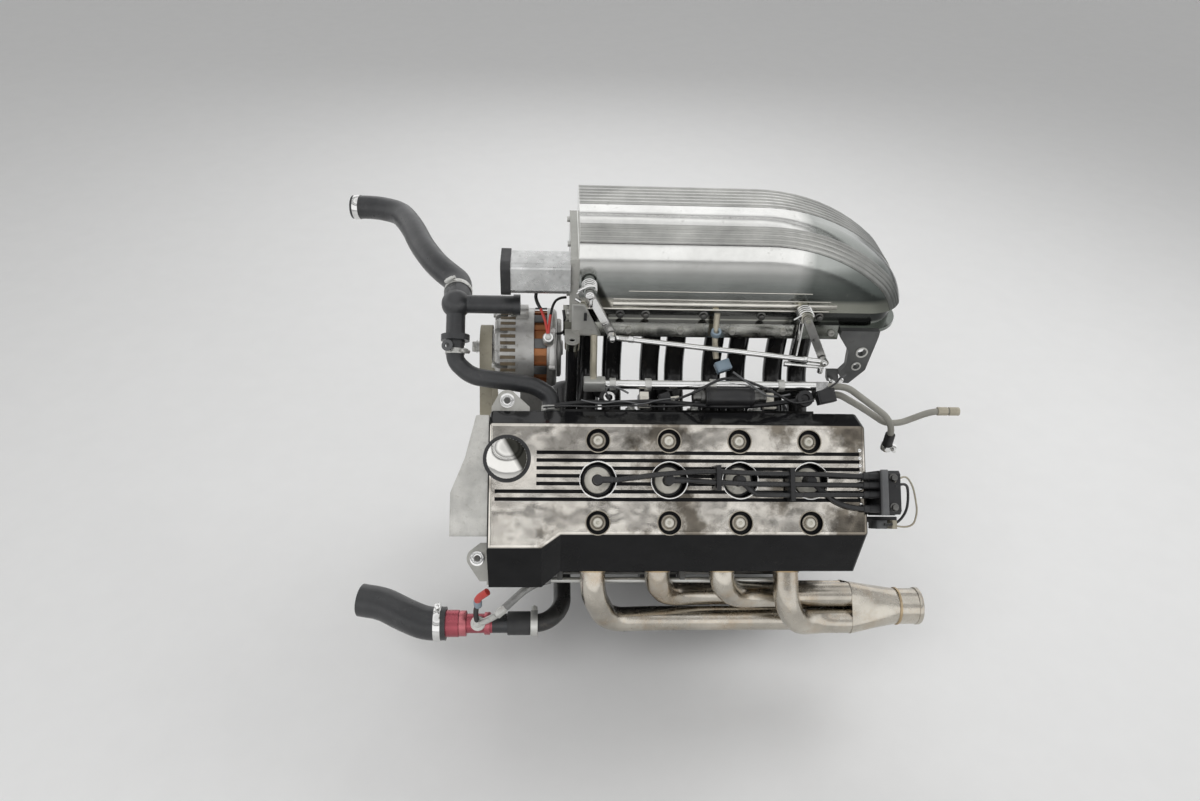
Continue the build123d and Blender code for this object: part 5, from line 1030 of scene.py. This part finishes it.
# Flywheel: ring gear, centre bolts and the clutch's face
flywheelTrim = {"radius": 142.0, "toothCount": 96, "toothX": 24, "rearX": 36, "boltCircle": 24, "boltCount": 6}
toothSpots = ringSpots(inRow(flywheelTrim["toothX"], 0, 0), flywheelTrim["radius"], around(flywheelTrim["toothCount"]))
tooth = shaped(addBlock(13, 3.4, 3.0, -0.6), [(0.6, 0.9)])
standAcross(tooth, "ringGear", toothSpots, "darkSteel", body="crank")
hub = inRow(flywheelTrim["rearX"], 0, 0)
hubSpots = ringSpots(hub, flywheelTrim["boltCircle"], around(flywheelTrim["boltCount"]))
hubBolts = [(place, rearward) for place, _ in hubSpots]
spread(hexBolt(14, 6, 9, 1.2), "flywheelBolts", hubBolts, "darkSteel", body="crank")
spread(addRing(78, 118, 1.2, 0, 72, 0.4), "clutchFace", [(hub, rearward)], "zinc", body="crank")
print("rotating parts dressed")

# Header: welds and heat tint at the flange, nuts, seams on the collector
headerTrim = {
    "portW": 288, "flangeV": -115, "nuts": ((-31, 306), (31, 270)), "weldX": 111, "lipX": 143, "outletX": 149.5,
}


def atPorts(v):
    return [(inBank(x, v, headerTrim["portW"]), -across) for x in wellXs]


spread(addRing(18.6, 21.4, 4, 0, 40, 1.6), "headerWelds", atPorts(headerTrim["flangeV"] + 1.0), "heatTint")
spread(addRing(18.7, 19.5, 16, 0, 48, 0.3), "heatRings", atPorts(headerTrim["flangeV"] - 2), "heatTint")
nutStarts = [inBank(x + shift, -124, w) for x in wellXs for shift, w in headerTrim["nuts"]]
seatAll(hexBolt(12, 8, 9, 1.6), "headerNuts", "exhaust_header", nutStarts, across, "darkSteel")
headerPoints = [Vector(v.co) for v in nodes["exhaust_header"].data.vertices]
outletPoints = [point for point in headerPoints if point.x > headerTrim["outletX"] / 1000]
outlet = sum(outletPoints, Vector()) / len(outletPoints)
for ring, name, x, finish in (((27.6, 29.6, 4, 0, 48, 1.2), "collectorWeld", headerTrim["weldX"], "heatTint"),
                              ((26.4, 29.4, 6, 0, 48, 1.0), "collectorLip", headerTrim["lipX"], "stainless")):
    spread(addRing(*ring), name, [(Vector((x / 1000, outlet.y, outlet.z)), rearward)], finish)
print("header dressed")

# Block, head, sump and the rest of the hidden sides
corePlugRows = [  # name, xs, v, aim
    ("corePlugs", (-80, -165, -355, -440), -260, across), ("corePlugsFar", (-80, -165, -340), 190, -across),
]
for name, xs, v, aim in corePlugRows:
    corePlug = shaped(addDrum(16, 2.4, -0.4, 36), [(0.9, 0.0), (0.9, -1.6)], 0.5)
    seatAll(corePlug, name, "block", [inBank(x, v, 150) for x in xs], aim, "zinc")
camPlug = shaped(addDrum(24, 3.0, -0.4, 40), [(0.9, 0.0), (0.9, -2.0)], 0.6)
seatAll(camPlug, "camPlugs", "cylinder_head", [inBank(60, v, 300) for v in (-58, 52)], forward, "zinc")
bellSpots = ringSpots(inBank(-18, 0, 0), 150, (30, 150, 210, 270, 330), across, upBank)
spread(hexBolt(13, 7, 10, 1.6), "bellBolts", [(place, forward) for place, _ in bellSpots], "darkSteel")
footSpots = [(inBank(-260 + dx, side * 92, 130 + dw), across * side)
             for side in (-1, 1) for dx in (-42, 42) for dw in (-40, 40)]
spread(hexBolt(12, 7, 9, 1.4), "footBolts", footSpots, "darkSteel")
timingSpots = [(-88, 285), (-88, 215), (-84, 140), (-80, 60), (-84, -20), (84, 60), (84, -20), (86, 215), (90, 285),
               (0, -50)]
seatedBolts = [  # name, node, across flats, height, washer, its height, starts, aim, finish
    ("timingBolts", "timing_cover", (9, 5.5, 7, 1.2), [inBank(-700, *spot) for spot in timingSpots], rearward, "zinc"),
    ("intakeNuts", "intake_runners", (11, 6, 8, 1.4),
     [inBank(x, 126, w) for x in (-122, -220, -318) for w in (254, 290)], -across, "zinc"),
    ("sumpBolts", "oil_pan", (9, 5, 7, 1.2), [inRow(x, -330, 6) for x in (-440, -350, -170, -80)], farward,
     "darkSteel"),
    ("drainPlug", "oil_pan", (19, 8, 14, 2), [inRow(-150, 260, -165)], nearward, "zinc"),
]
for name, nodeName, sizes, starts, aim, finish in seatedBolts:
    seatAll(hexBolt(*sizes), name, nodeName, starts, aim, finish)

starterTrim = {"v": 156, "w": -28, "screwShifts": (-22, 22), "postShifts": (-8, 8), "postW": 24, "bandXs": (-150, -60)}
starterV, starterW = starterTrim["v"], starterTrim["w"]
screwStarts = [inBank(-300, starterV + shift, starterW) for shift in starterTrim["screwShifts"]]
seatAll(socketBolt(4.5, 3.5), "starterScrews", "starter", screwStarts, rearward, "zinc")
postStarts = [inBank(-300, starterV + shift, starterTrim["postW"]) for shift in starterTrim["postShifts"]]
seatAll(hexBolt(10, 5, 6, 1.2), "solenoidPosts", "starter", postStarts, rearward, "copperWire")
bandSpots = [(inBank(x, starterV, starterW), rearward) for x in starterTrim["bandXs"]]
spread(addRing(37.8, 39.0, 8, 0, 48, 0.4), "starterBands", bandSpots, "darkSteel")
filterTrim = {"x": -400, "w": 120, "fluteCircle": 39.3, "fluteCount": 15, "fluteV": 141, "sealV": 85}
fluteMiddle = inBank(filterTrim["x"], filterTrim["fluteV"], filterTrim["w"])
fluteSpots = ringSpots(fluteMiddle, filterTrim["fluteCircle"], around(filterTrim["fluteCount"]), rearward, upBank)
flute = shaped(addBlock(8, 2.6, 24), [(0.6, 1.5)], 0.8, 1)
fluteAxes = [onAxes(place, out.cross(across), out, across) for place, out in fluteSpots]
spreadBy(flute, "filterFlutes", fluteAxes, "panPaint")
sealPlace = inBank(filterTrim["x"], filterTrim["sealV"], filterTrim["w"])
spread(addRing(38.6, 41.4, 6, 0, 56, 1.0), "filterSeal", [(sealPlace, across)], "rubber")
print("hidden sides dressed")
